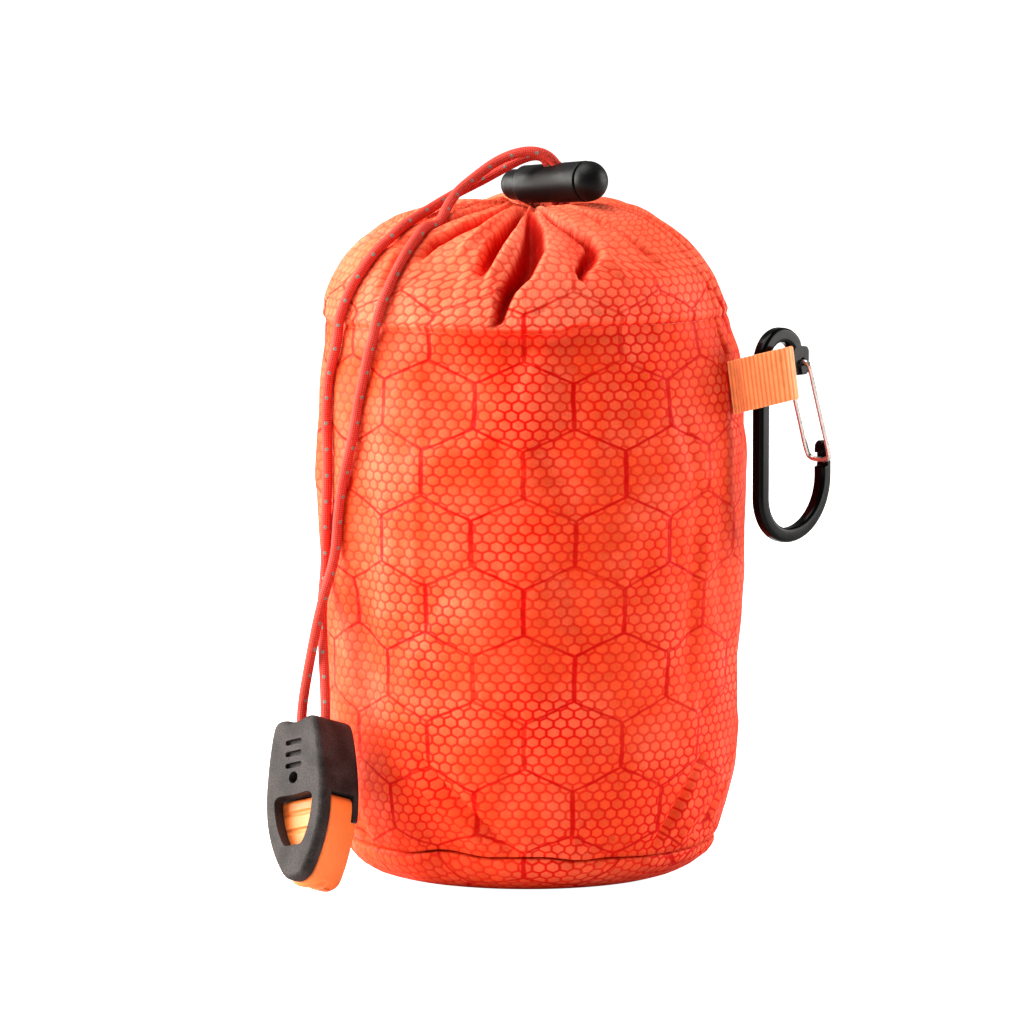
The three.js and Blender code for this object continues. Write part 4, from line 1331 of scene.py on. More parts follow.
    def _facets(self, points: Array) -> Array:
        """Crumple of thin coated cloth: small flat patches, each tilted its own way.

        Args:
            points: Surface points, one a row.

        Returns:
            How far each point sinks.
        """
        rng = np.random.default_rng(self.seed)
        centres = points[rng.choice(len(points), self.facet_count, replace=False)]
        tilts = rng.normal(0, self.facet_tilt, (self.facet_count, 3))
        squeeze = np.array([1.0, 1.0, 0.62])
        sunk, batch = np.empty(len(points)), 8000
        for start in range(0, len(points), batch):
            offset = points[start : start + batch, None] - centres[None]
            far = np.linalg.norm(offset * squeeze, axis=2)
            weight = np.exp(-(far - far.min(axis=1, keepdims=True)) / self.facet_blend)
            plane = np.einsum("pkc,kc->pk", offset, tilts)
            sunk[start : start + batch] = (weight * plane).sum(axis=1) / weight.sum(axis=1)
        return sunk

    def _place(self, radius: Array, depth: Array) -> Array:
        """Sinks the wall square to its outline.

        Args:
            radius: Distance of each place from the axis.
            depth: How far each place sinks.

        Returns:
            Points of the wall, row by row.
        """
        angle = np.radians(self.degrees)[None]
        fade = np.clip(1 - (self.height - WALL_ROWS[0, 0]) / 14, 0, 1)[:, None]
        out = radius - self.slope[:, 1:] * depth
        up = self.height[:, None] + seam_lift(self.degrees)[None] * fade + self.slope[:, :1] * depth
        return np.stack([out * np.sin(angle), -out * np.cos(angle), up + 0 * angle], axis=2)

    def wall_points(self) -> tuple[Array, Array]:
        """Shapes the wall, and marks its painted shade, in the pleats' valleys and as a painted shadow under
        the hem, and its gathered cloth above the hem, which gets painted light.

        Returns:
            Points of the wall, row by row, and its spare cloth.
        """
        radius = side_radius(self.sides, self.degrees)
        pleats, spare = self._pleats(radius)
        depth = pleats + self._body_folds(radius)
        calm = step(self.height, 9, 22) * (1 - 0.5 * step(self.height, 128, 150))
        calm *= step(self.mouth, 8, 26)
        facets = self._facets(self._place(radius, depth).reshape(-1, 3)).reshape(radius.shape)
        depth = depth + np.clip(facets, -0.9, 0.9) * calm[:, None]
        depth[0] = 0
        # Painted shadow under the hem, strongest at the front, added to the painted shade in the pleats'
        # valleys
        below = self.hem_line(self.degrees)[None] - self.height[:, None]
        fading = np.clip(below, 0, None)
        shadow = step(below, -0.3, 0.3) * (0.5 * np.exp(-fading / 1.6) + 0.24 * np.exp(-fading / 15))
        shadow = shadow * trough(apart(self.degrees, 2), 60)[None]
        self.painted_shade = np.clip(step(pleats, 0.55, 2.7) + shadow, 0, 1)
        # Painted light above the hem, strongest at the front; the same mark sets the cloth's wrinkles there
        self.folded = step(-below, -0.3, 0.3) * (0.4 + 0.6 * trough(apart(self.degrees, 3), 52))
        return self._place(radius, depth), spare

    def _flat(self, spare: Array) -> tuple[Array, Array]:
        """Lays the wall's cloth flat.

        Args:
            spare: Spare cloth in each place.

        Returns:
            Place across and up the flat cloth of each vertex, the last column repeated past
            the back seam.
        """
        radius, pull = self.radius[:, None], spare + 0.15
        density = radius + (self.cloth_radius - radius) * pull / pull.mean(axis=1, keepdims=True)
        density = np.column_stack([density, density[:, :1]])
        middle = (density[:, 1:] + density[:, :-1]) / 2 * np.radians(360 / self.around)
        across = np.column_stack([np.zeros(len(density)), np.cumsum(middle, axis=1)])
        across -= across[:, self.around // 2][:, None]
        across *= (2 * np.pi * self.cloth_radius) / (across[:, -1:] - across[:, :1])
        level = np.interp(self.pattern_height, self.height, self.run)
        up = np.broadcast_to((self.run - level)[:, None], across.shape)
        return across * MM, up * MM

    def build_wall(self, finishes: Finishes) -> Piece:
        """Builds the sack's wall as one closed skin.

        Args:
            finishes: Materials.

        Returns:
            The wall.
        """
        self.surface, spare = self.wall_points()
        u, v = self._flat(spare)
        i, j = np.divmod(np.arange((self.along - 1) * self.around), self.around)
        corners = [(i, j), (i, j + 1), (i + 1, j + 1), (i + 1, j)]
        uv = np.stack([np.column_stack([u[a, b], v[a, b]]) for a, b in corners], axis=1)
        uv = uv.reshape(-1, 2).tolist()
        low, high = v[0, 0], v[-1, 0]
        for k in range(self.around):
            uv += [(u[0, k], low - 40 * MM), (u[0, k + 1], low), (u[0, k], low)]
            uv += [(u[-1, k], high + 8 * MM), (u[-1, k], high), (u[-1, k + 1], high)]
        points = np.vstack([self.surface.reshape(-1, 3), [0, 0, WALL_ROWS[0, 0]], self.mouth_spot])
        wall = mesh_object("sack_wall_cloth", points, ring_faces(self.along, self.around), np.array(uv))
        for title, shares in (("painted_shade", self.painted_shade), ("folded", self.folded)):
            layer = wall.data.attributes.new(title, "FLOAT", "POINT")
            layer.data.foreach_set("value", np.concatenate([shares.ravel(), [0, 0]]))
        dressed(wall, finishes.cloth, ROOT_BODY, ["sack_wall"])
        return wall

    def build_panel(self, finishes: Finishes) -> Piece:
        """Builds the bottom panel, flat where it rests and bulging up to the seam.

        Args:
            finishes: Materials.

        Returns:
            The panel.
        """
        rows = self._even(PANEL_ROWS, 0.2, 1.6)[::3]
        rows[0, 0] = 0.0
        inner = [np.concatenate([[0.0], PANEL_ROWS[0, 1:] * share]) for share in (0.3, 0.65)]
        rows = np.vstack([*inner, rows])
        rows[:, 0] = np.maximum(rows[:, 0], 0)
        degrees = np.arange(self.panel_around) * 360 / self.panel_around
        angle = np.radians(degrees)[None]
        share = rows[:, :1] / self.panel_height
        bulge = (np.clip(share, 0, 1) * np.clip(1.25 - share, 0, 1)) ** 0.8
        radius = side_radius(rows[:, 1:], degrees) - 0.2 * SEAM_PUCKER.at(angle) * bulge
        height = rows[:, :1] + seam_lift(degrees)[None] * np.clip(share, 0, 1) ** 2
        points = np.stack([radius * np.sin(angle), -radius * np.cos(angle), height], axis=2)
        run = rows[0, 1:].mean() + run_along(self._mean(rows))[:, None]
        flat = np.stack([run * np.sin(angle), -run * np.cos(angle)], axis=2).reshape(-1, 2) * MM
        faces = ring_faces(len(rows), self.panel_around)
        flat = np.vstack([flat, [(0, 0), (0, 0)]])
        uv = flat[np.concatenate([np.array(face) for face in faces])]
        points = np.vstack([points.reshape(-1, 3), [0, 0, 0], [0, 0, self.panel_height - 0.2]])
        panel = mesh_object("bottom_panel_cloth", points, faces, uv)
        dressed(panel, finishes.cloth, ROOT_BODY, ["bottom_panel"])
        return panel

    def hem_path(self, drop: float, lift: float) -> Array:
        """Closed line round the wall below the hem's edge.

        Args:
            drop: Distance below the hem's edge, in millimetres.
            lift: Distance off the cloth.

        Returns:
            Points on the cloth, one a column of the wall.
        """
        low, high = (int(np.argmax(self.height > limit)) for limit in (60, 148))
        target, columns = self.hem_line(self.degrees) - drop, self.surface[low:high]
        line = np.vstack(
            [sampled([height], columns[:, j, 2], columns[:, j]) for j, height in enumerate(target)]
        )
        out = line * np.array([1, 1, 0])
        return line + out / np.linalg.norm(out, axis=1, keepdims=True) * lift


@dataclass
class StitchRow:
    """Row of thread stitches that follows a line of points."""

    pitch: float = 2.9
    length: float = 2.2
    thread: float = 0.26
    seed: int = 3

    def _tree(self) -> bpy.types.NodeTree:
        """Geometry tree: a bead of thread at each step of the line, turned along it.

        Returns:
            The tree.
        """
        tree = bpy.data.node_groups.new("Stitch Row", "GeometryNodeTree")
        kinds = {"Line": "Geometry", "Pitch": "Float", "Length": "Float", "Thread": "Float"}
        for title, kind in {**kinds, "Seed": "Int", "Material": "Material"}.items():
            tree.interface.new_socket(title, in_out="INPUT", socket_type="NodeSocket" + kind)
        tree.interface.new_socket("Stitches", in_out="OUTPUT", socket_type="NodeSocketGeometry")
        graph, takes = Graph(tree), tree.nodes.new("NodeGroupInput").outputs
        curve = graph.add("GeometryNodeMeshToCurve", {0: takes["Line"]}).outputs[0]
        feeds = {"Curve": curve, "Length": takes["Pitch"]}
        steps = graph.add("GeometryNodeResampleCurve", feeds, mode="LENGTH").outputs[0]
        tangent = graph.add("GeometryNodeInputTangent").outputs[0]
        aim = graph.add("FunctionNodeAlignRotationToVector", {"Vector": tangent}, axis="Z").outputs[0]
        bead = graph.add("GeometryNodeMeshUVSphere", {"Segments": 8, "Rings": 7, "Radius": 0.5})
        feeds = {2: 0.88, 3: 1.08, "Seed": takes["Seed"]}
        wobble = graph.add("FunctionNodeRandomValue", feeds, data_type="FLOAT").outputs[1]
        size = graph.vector(takes["Thread"], takes["Thread"], graph.times(takes["Length"], wobble))
        feeds = {"Points": steps, "Instance": bead.outputs["Mesh"], "Rotation": aim, "Scale": size}
        spots = graph.add("GeometryNodeInstanceOnPoints", feeds).outputs[0]
        solid = graph.add("GeometryNodeRealizeInstances", {0: spots}).outputs[0]
        smooth = graph.add("GeometryNodeSetShadeSmooth", {"Geometry": solid}).outputs[0]
        feeds = {"Geometry": smooth, "Material": takes["Material"]}
        painted = graph.add("GeometryNodeSetMaterial", feeds).outputs[0]
        graph.feed(tree.nodes.new("NodeGroupOutput"), {0: painted})
        return tree

    def sew(self, name: str, line: Array, thread: Material) -> Piece:
        """Sews stitches along a closed line.

        Args:
            name: Name of the piece.
            line: Points of the line, in millimetres.
            thread: Thread's material.

        Returns:
            The stitches as one plain mesh.
        """
        mesh = bpy.data.meshes.new(name)
        edges = [(k, (k + 1) % len(line)) for k in range(len(line))]
        mesh.from_pydata((line * MM).tolist(), edges, [])
        row = in_scene(name, mesh)
        modifier = row.modifiers.new("stitches", "NODES")
        modifier.node_group = self._tree()
        values = {"Pitch": self.pitch * MM, "Length": self.length * MM, "Thread": self.thread * MM}
        values |= {"Seed": self.seed, "Material": thread}
        for item in modifier.node_group.interface.items_tree:
            if item.in_out == "INPUT" and item.name in values:
                modifier[item.identifier] = values[item.name]
        settle(row)
        return row


@dataclass
class WebbingTab:
    """Ribbed ribbon folded in two round the carabiner's spine."""

    at: float = 68
    root_radius: float = 50.5
    height: float = 117.9
    width: float = 12.5
    thick: float = 1.0
    corner: float = 0.42
    rise: float = 14.5
    lean: float = -7.5
    end: float = 15.9
    rib_pitch: float = 1.02
    path: tuple[Pair, ...] = (
        (0.5, 0.65), (2, 0.65), (3.4, 1.4), (4.8, 3), (6.4, 3.6), (12, 3.5), (14.2, 2.8), (15.4, 1.5),
    )

    @property
    def turn(self) -> Matrix:
        """Turn from +X to the direction that the tab points in."""
        return turn_by(self.at - 90, "Z")

    def build(self, finishes: Finishes) -> Piece:
        """Builds the ribbon with its ribs as real relief.

        Args:
            finishes: Materials.

        Returns:
            The tab.
        """
        half = [(out, -across, 0.0) for out, across in self.path]
        back = [(out, across, 0.0) for out, across in reversed(self.path)]
        line = spline([*half, (self.end, 0.0, 0.0), *back], 0.085)
        tangent, length = headings(line), run_along(line)[-1]
        side = np.column_stack([-tangent[:, 1], tangent[:, 0], tangent[:, 2] * 0])
        rise = np.tile([0.0, 0.0, 1.0], (len(line), 1))
        run = np.arange(len(line)) * length / (len(line) - 1)
        ribbed_to = 4
        away = np.clip((line[:, 0] - ribbed_to) / (self.end - ribbed_to), 0, 1)
        rib = (0.5 + 0.5 * np.cos(2 * np.pi * run / self.rib_pitch)) * (1 - 0.55 * away)
        flat = soft_box_section(self.thick / 2, self.width / 2, self.corner, 3)
        widths = np.linspace(-1, 1, 9)[1:-1] * (self.width / 2 - 0.6)
        right = [(self.thick / 2, w) for w in widths]
        left = [(-self.thick / 2, w) for w in widths[::-1]]
        ring = np.array([*flat[12:16], *right, *flat[0:8], *left, *flat[8:12]])
        sections = np.repeat(ring[None], len(line), axis=0)
        sections[:, :, 0] *= (0.86 + 0.3 * rib)[:, None]
        tab = swept("webbing_tab_ribbon", line, side, rise, sections, 0.9 * MM)
        shear = Matrix.Identity(4)
        shear[0][2], shear[2][0] = math.tan(math.radians(self.lean)), math.tan(math.radians(self.rise))
        root = self.turn @ Vector((self.root_radius, 0, 0)) + Vector((0, 0, self.height))
        placed(tab, Matrix.Translation(root) @ self.turn @ shear)
        dressed(tab, finishes.webbing, ROOT_BODY, ["webbing_tab"])
        return tab


@dataclass
class Carabiner:
    """Black bar with its nose and hinge lug, and the wire gate."""

    tab: WebbingTab
    spine_out: float = 7.8
    turn: float = 48
    half_wide: float = 1.75
    half_thick: float = 1.6
    corner: float = 0.95
    nose: Pair = (23.1, 104.2)
    gate_bow: Spot = (9.5, 96.1, 13.6)
    low_bow: Spot = (9.5, 92, 9.5)
    top_bow: Spot = (6.6, 123.8, 6.6)
    notch: Spot = (98.0, 101.4, 1.6)
    lug: Pair = (12.9, 124.0)
    lug_size: Pair = (5.6, 6.8)
    hinge: Pair = (13.5, 123.7)
    hole_radius: float = 1.05
    wire: float = 1.3
    leg: float = 3.4
    pin_end: float = 1.0
    bend: float = 1.3
    cross_height: float = 99.9
    notch_gap: float = 0.38

    @property
    def place(self) -> Matrix:
        """Where the upright plane of the carabiner stands."""
        spine = self.tab.turn @ Vector((self.tab.root_radius + self.spine_out, 0, 0))
        return Matrix.Translation(spine) @ turn_by(self.turn, "Z")

    @staticmethod
    def _arc(bow: Spot, start: float, stop: float) -> Array:
        """Points round an arc in the upright plane.

        Args:
            bow: Place along and height of the arc's middle, and its radius.
            start: Angle that it starts at, in degrees.
            stop: Angle that it ends at.

        Returns:
            The points, one a row.
        """
        along, height, radius = bow
        angle = np.radians(np.linspace(start, stop, 36))
        return np.column_stack([along + radius * np.cos(angle), 0 * angle, height + radius * np.sin(angle)])

    @staticmethod
    def _block(half_x: float, half_y: float, half_z: float, corner: float, at: Pair) -> Piece:
        """Block whose corners are rounded in the upright plane.

        Args:
            half_x: Half its size along the plane.
            half_y: Half its thickness.
            half_z: Half its height.
            corner: Radius of its corners.
            at: Place along the plane and height of its middle.

        Returns:
            The block.
        """
        block = prism((0.0, 0.0, 1.0), half_y, soft_box_section(half_x, half_z, corner, 6))
        return placed(block, shift_by(at[0], 0, at[1]))

    def build_bar(self, finishes: Finishes) -> Piece:
        """Builds the bar, with the lug joined and the notch and hole cut.

        Args:
            finishes: Materials.

        Returns:
            The bar.
        """
        bows = [self._arc(self.gate_bow, 360, 270), self._arc(self.low_bow, 270, 180)[1:]]
        bows.append(self._arc(self.top_bow, 180, 40))
        path = np.vstack([[self.nose[0], 0, self.nose[1]], *bows, [self.lug[0], 0, self.lug[1]]])
        line = resampled(path, 0.5)
        tangent = headings(line)
        side = np.column_stack([tangent[:, 2], 0 * tangent[:, 0], -tangent[:, 0]])
        rise = np.tile([0.0, 1.0, 0.0], (len(line), 1))
        taper = np.ones(len(line))
        taper[:4] = (0.62, 0.84, 0.95, 0.99)
        section = soft_box_section(self.half_wide, self.half_thick, self.corner, 5)
        bar = swept("carabiner_bar", line, side, rise, section[None] * taper[:, None, None])
        wide, tall = self.lug_size
        cut(bar, self._block(wide / 2, self.half_thick + 0.1, tall / 2, 1.4, self.lug), "UNION")
        low, high, deep = self.notch
        inner = self.nose[0] - self.half_wide
        cut(bar, self._block(deep, 4, (high - low) / 2, 0.5, (inner, (low + high) / 2)))
        through = shift_by(self.hinge[0], 0, self.hinge[1]) @ turn_by(90, "Z")
        cut(bar, rod(self.hole_radius, -4, 4, through, 32))
        soften(bar, 0.18, 40, 2)
        placed(bar, self.place)
        return dressed(bar, finishes.carabiner, ROOT_BODY, ["carabiner_body"])

    def build_gate(self, finishes: Finishes) -> Piece:
        """Builds the bent wire from one end of its pin to the other.

        Args:
            finishes: Materials.

        Returns:
            The gate.
        """
        floor = self.nose[0] - self.half_wide + self.notch[2]
        top = Vector((self.hinge[0], 0, self.hinge[1]))
        run = Vector((floor - self.notch_gap - self.wire / 2, 0, self.cross_height)) - top
        leg, bent = self.leg, self.leg - self.bend
        rows = [(0, self.pin_end), (0, bent), (0.02, leg - 0.3), (0.07, leg), (0.35, leg)]
        rows += [(0.65, leg), (0.91, leg), (0.975, leg - 0.35), (1, bent)]
        near = [top + run * share - Vector((0, out, 0)) for share, out in rows]
        line = spline([*near, *[(x, -y, z) for x, y, z in reversed(near)]], 0.35)
        gate = swept("gate_wire_bent", line, *frames_along(line), round_section(self.wire / 2, 16))
        placed(gate, self.place)
        return dressed(gate, finishes.wire, GATE_BODY, ["gate_wire"])


@dataclass
class CordLock:
    """Barrel with a domed end and a slot for both cords, and its plunger."""

    centre: Spot = (5.8, -6.15, 165.9)
    turn: float = -46.2
    tilt: float = 3.8
    back: float = 10.9
    front: float = 10.6
    back_radius: float = 4.5
    front_radius: float = 4.9
    dome_length: float = 4.5
    bore_radius: float = 4.0
    bore_depth: float = 7.0
    slot_length: float = 6.2
    slot_width: float = 3.3
    slot_lean: float = 12
    plunger_radius: float = 3.7
    plunger_out: float = 3.4
    plunger_in: float = 4.2
    cap_length: float = 3.1

    @property
    def place(self) -> Matrix:
        """Where the lock's own axes stand, with X along the barrel."""
        return shift_by(*self.centre) @ turn_by(self.turn, "Z") @ turn_by(-self.tilt, "Y")

    def build_barrel(self, finishes: Finishes) -> Piece:
        """Builds the barrel with its bore, groove, dome and cord slot.

        Args:
            finishes: Materials.

        Returns:
            The barrel.
        """
        back, front, rim, tail = -self.back, self.front, self.front_radius, self.back_radius
        start, stop, facets = back + 0.45, front - 0.5, 12
        flanks = [k / facets for k in range(facets + 1)]
        rows = [
            (self.bore_depth + back, 0),
            (self.bore_depth + back, self.bore_radius),
            (back + 0.15, self.bore_radius),
            (back, self.bore_radius + 0.12),
            (back, tail - 0.35),
            (back + 0.12, tail - 0.12),
            *[(start + (stop - start) * share, tail + (rim - tail) * share) for share in flanks],
            (front - 0.36, rim - 0.12),
            (front - 0.2, rim - 0.8),
            (front + 0.2, rim - 0.8),
            (front + 0.35, rim - 0.1),
            *dome(front + 0.35, rim - 0.1, self.dome_length - 0.05, 18),
        ]
        barrel = turned("cord_lock_barrel", rows, 96)
        half = self.slot_width / 2
        slot = prism((0.0, 1.0, 0.0), 12, soft_box_section(self.slot_length / 2, half, half - 0.01, 8))
        cut(barrel, placed(slot, turn_by(self.slot_lean, "X")))
        soften(barrel, 0.2, 50, 3)
        placed(barrel, self.place)
        return dressed(barrel, finishes.lock, ROOT_BODY, ["lock_barrel"])

    def build_plunger(self, finishes: Finishes) -> Piece:
        """Builds the plunger with its rounded end.

        Args:
            finishes: Materials.

        Returns:
            The plunger.
        """
        radius, far, inner = self.plunger_radius, -self.back - self.plunger_out, self.plunger_in - self.back
        cap = [(2 * far - x, r) for x, r in reversed(dome(far, radius, self.cap_length, 14))]
        rows = [*cap, (far, radius), (far + 0.5, radius - 0.04), (far + 1.0, radius)]
        rows += [(inner - 0.3, radius), (inner, radius - 0.3), (inner, 0)]
        plunger = turned("cord_lock_plunger", rows, 72)
        placed(plunger, self.place)
        plunger.data.set_sharp_from_angle(angle=math.radians(40))
        return dressed(plunger, finishes.lock, BUTTON_BODY, ["lock_button"])


@dataclass
class Whistle:
    """Grained housing with a window, and the orange insert it holds."""

    foot: Spot = (-51.7, -45.5, 3.4)
    yaw: float = -42
    lean: float = 22
    depth: float = 13.3
    plate: float = 3.0
    cap: float = 20.6
    tongue: float = 2.3
    tongue_end: float = 14.5
    slack: float = 0.3
    hole_across: float = 3.9
    hole_radius: float = 1.7
    hole_depth: float = 4.5
    top: float = 39.0
    spot: Pair = (1.4, 24.6)
    grip_size: Pair = (2.6, 0.62)
    grip_heights: Spot = (27.6, 30.4, 33.2)
    groove: Spot = (1.6, 7.6, -0.9)
    ridge_radius: float = 0.9
    ridge_heights: Pair = (12.6, 16.8)
    air_slot: Spot = (1.0, 3.4, -0.9)
    outline: tuple[Pair, ...] = (
        (0.0, 0.0), (0.25, 1.4), (1.3, 3.3), (3.8, 5.1), (8.2, 7.3), (14, 9.0), (20, 9.5), (25.5, 9.2),
        (31.5, 8.4), (36, 7.5), (38.3, 6.6), (39.1, 5.2), (39.05, 3.2), (38.5, 1.4), (38.3, 0.0),
    )
    window: tuple[Pair, ...] = (
        (8.4, 0.0), (8.4, 2.2), (9.0, 3.1), (13, 5.0), (17, 5.9), (19.6, 6.0), (20.4, 5.2), (20.4, 0.0),
    )
    insert_outline: tuple[Pair, ...] = (
        (-0.9, 0.0), (-0.7, 1.4), (0.2, 3.2), (3.2, 5.0), (8, 6.9), (14, 8.5), (18.6, 8.9), (19.9, 8.3),
        (20.2, 7.2), (20.2, 0.0),
    )

    @property
    def place(self) -> Matrix:
        """Where the whistle's own axes stand: X across, Y back through it, Z up from its tip."""
        return shift_by(*self.foot) @ turn_by(-self.lean, "X") @ turn_by(self.yaw, "Z")

    @staticmethod
    def _slab(rows: Sequence[Pair], front: float, back: float, edge: float) -> Piece:
        """Upright slab of an outline with rounded edges, the same on both sides.

        Args:
            rows: Height and half width of the outline.
            front: Depth of its front face.
            back: Depth of its back face.
            edge: Radius of its edges.

        Returns:
            The closed slab.
        """
        left = spline([(-half, height, 0.0) for height, half in rows], 0.55)[:, :2]
        outline = np.vstack([left, left[::-1][1:-1] * np.array([-1, 1])])
        inward = outline[np.arange(len(outline)) - 1] - np.roll(outline, -1, axis=0)
        inward = np.column_stack([-inward[:, 1], inward[:, 0]])
        inward /= np.linalg.norm(inward, axis=1, keepdims=True)
        turns = np.linspace(math.pi / 2, 0, 6) if edge else [math.pi / 2]
        layers = [(front + edge - edge * math.sin(t), edge - edge * math.cos(t)) for t in turns]
        layers += [(front + back - y, inset) for y, inset in reversed(layers)]
        rings = [outline + inward * inset for _, inset in layers]
        points = [np.insert(ring, 1, y, axis=1) for (y, _), ring in zip(layers, rings)]
        count = len(outline)
        faces = ring_faces(len(layers), count, False)
        faces.append(tuple(range(count))[::-1])
        faces.append(tuple(range((len(layers) - 1) * count, len(layers) * count)))
        return mesh_object("slab", np.vstack(points), faces)

    @staticmethod
    def _cuboid(y: Pair, z: Pair) -> Piece:
        """Cutting block between two depths and two heights, wider than the whistle.

        Args:
            y: Depths.
            z: Heights.

        Returns:
            The block.
        """
        corners = [(a, b, c) for c in z for b in y for a in (-20, 20)]
        faces = [(0, 2, 3, 1), (4, 5, 7, 6), (0, 1, 5, 4), (2, 6, 7, 3), (0, 4, 6, 2), (1, 3, 7, 5)]
        return mesh_object("cuboid", np.array(corners, float), faces)

    def build_housing(self, finishes: Finishes) -> Piece:
        """Builds the housing with its window, pocket, cord holes, round spot and grip grooves.

        Args:
            finishes: Materials.

        Returns:
            The housing.
        """
        front, back = -self.depth / 2, self.depth / 2
        body = self._slab(self.outline, front, back, 1.5)
        cut(body, self._cuboid((front + self.plate, back - self.tongue), (-5, self.cap)))
        cut(body, self._cuboid((back - self.tongue - 1, back + 1), (-5, self.tongue_end)))
        cut(body, self._slab(self.window, front - 1, front + self.plate + 0.5, 0))
        for side in (-1, 1):
            down = shift_by(side * self.hole_across, 0, self.top) @ turn_by(90, "Y")
            cut(body, rod(self.hole_radius, -self.hole_depth, self.hole_depth, down))
        radius, height = self.spot
        cut(body, rod(radius, -2, 2, shift_by(0, front, height) @ turn_by(90, "Z")))
        half_wide, half_tall = self.grip_size
        for height in self.grip_heights:
            grip = prism((0.0, 0.0, 1.0), 1, soft_box_section(half_wide, half_tall, half_tall - 0.02, 5))
            cut(body, placed(grip, shift_by(0, front, height)))
        soften(body, 0.28, 35, 3)
        body.name = "whistle_housing_moulding"
        placed(body, self.place)
        return dressed(body, finishes.housing, ROOT_BODY, ["whistle_housing"])

    def build_insert(self, finishes: Finishes) -> Piece:
        """Builds the insert with its lobes, ridges and air slot.

        Args:
            finishes: Materials.

        Returns:
            The insert.
        """
        front, back = -self.depth / 2 + self.plate + self.slack, self.depth / 2 - self.slack
        body = self._slab(self.insert_outline, front, back, 1.1)
        pocket = self.depth / 2 - self.tongue - self.slack
        cut(body, self._cuboid((pocket, back + 1), (self.tongue_end - self.slack, 30)))
        radius, deep, height = self.groove
        cut(body, rod(radius, -15, 15, shift_by(0, deep - self.depth / 2, height)))
        for height in self.ridge_heights:
            cut(body, rod(self.ridge_radius, -15, 15, shift_by(0, front - 0.55, height)))
        radius, deep, height = self.air_slot
        flatten = Matrix.Scale(0.5, 4, (0, 0, 1))
        cut(body, rod(radius, 1.2, 15, shift_by(0, deep, height) @ flatten))
        soften(body, 0.3, 35, 3)
        body.name = "whistle_insert_moulding"
        placed(body, self.place)
        return dressed(body, finishes.insert, ROOT_BODY, ["whistle_insert"])


@dataclass
class CordLeg:
    """One leg of the drawcord, from the sack's mouth through the lock to the whistle."""

    name: str
    node: str
    side: int
    hole_side: int
    free: tuple[Spot, ...]
    laid: tuple[Spot, ...]
    low: tuple[Spot, ...]
    radius: float = 1.2
    apart: float = 1.38
    reach: float = 5.3
    off_cloth: float = 0.12

    def route(self, lock: CordLock, whistle: Whistle, cloth: BVHTree) -> Array:
        """Smooth centreline that clears the cloth.

        Args:
            lock: Cord lock that it passes through.
            whistle: Whistle that it ends in.
            cloth: Surface of the sack.

        Returns:
            Points about half a millimetre apart, in millimetres.
        """
        lean = math.radians(lock.slot_lean)
        slot = Vector((0, -self.reach * math.sin(lean), self.reach * math.cos(lean)))
        inside = Vector((self.side * self.apart, 0, 0))
        in_slot = [lock.place @ (inside + slot * k) for k in (-1, 0, 1)]
        in_hole = [
            whistle.place @ Vector((self.hole_side * whistle.hole_across, 0, whistle.top - 0.7 + rise))
            for rise in (4, 0, 0.3 - whistle.hole_depth)
        ]
        laid = [self._laid(Vector(p), cloth) for p in self.laid]
        points = [*in_slot, *map(Vector, self.free), *laid, *map(Vector, self.low), *in_hole]
        line = spline([tuple(p) for p in points], 0.5)
        clear, passes, smoothing = self.radius + self.off_cloth, 6, 2.2
        pushed, eased, stop = 24, 20, len(line) - 12
        for _ in range(passes):
            for i in range(pushed, stop):
                spot = Vector(line[i]) * MM
                near, normal, _, far = cloth.find_nearest(spot)
                gap = -far if (spot - near).dot(normal) < 0 else far
                if gap < clear * MM:
                    line[i] += np.array(normal) * (clear - gap / MM)
            for k in range(3):
                line[eased:stop, k] = gaussian(line[:, k], smoothing)[eased:stop]
        return resampled(line, 0.5)

    def _laid(self, point: Vector, cloth: BVHTree) -> Vector:
        """Moves a point straight out from the sack's middle until it lies on the cloth.

        Args:
            point: Point that is moved.
            cloth: Surface of the sack.

        Returns:
            The cord's centre on the cloth.
        """
        core = Vector((0, 0, min(point.z, 116)))
        outward = (point - core).normalized()
        hit = cloth.ray_cast((core + outward * 200) * MM, -outward)[0]
        return hit / MM + outward * (self.radius + self.off_cloth + 0.1)

    def build(self, line: Array, finishes: Finishes, on_end: Sequence[Piece]) -> Piece:
        """Args:
            line: Centreline, in millimetres.
            finishes: Materials.
            on_end: Pieces on its far end. Not used.

        Returns:
            The cord.
        """
        leg = swept(self.name, line, *frames_along(line), round_section(self.radius, 24), 1 / 24)
        dressed(leg, finishes.cord, ROOT_BODY, [self.node])
        return leg


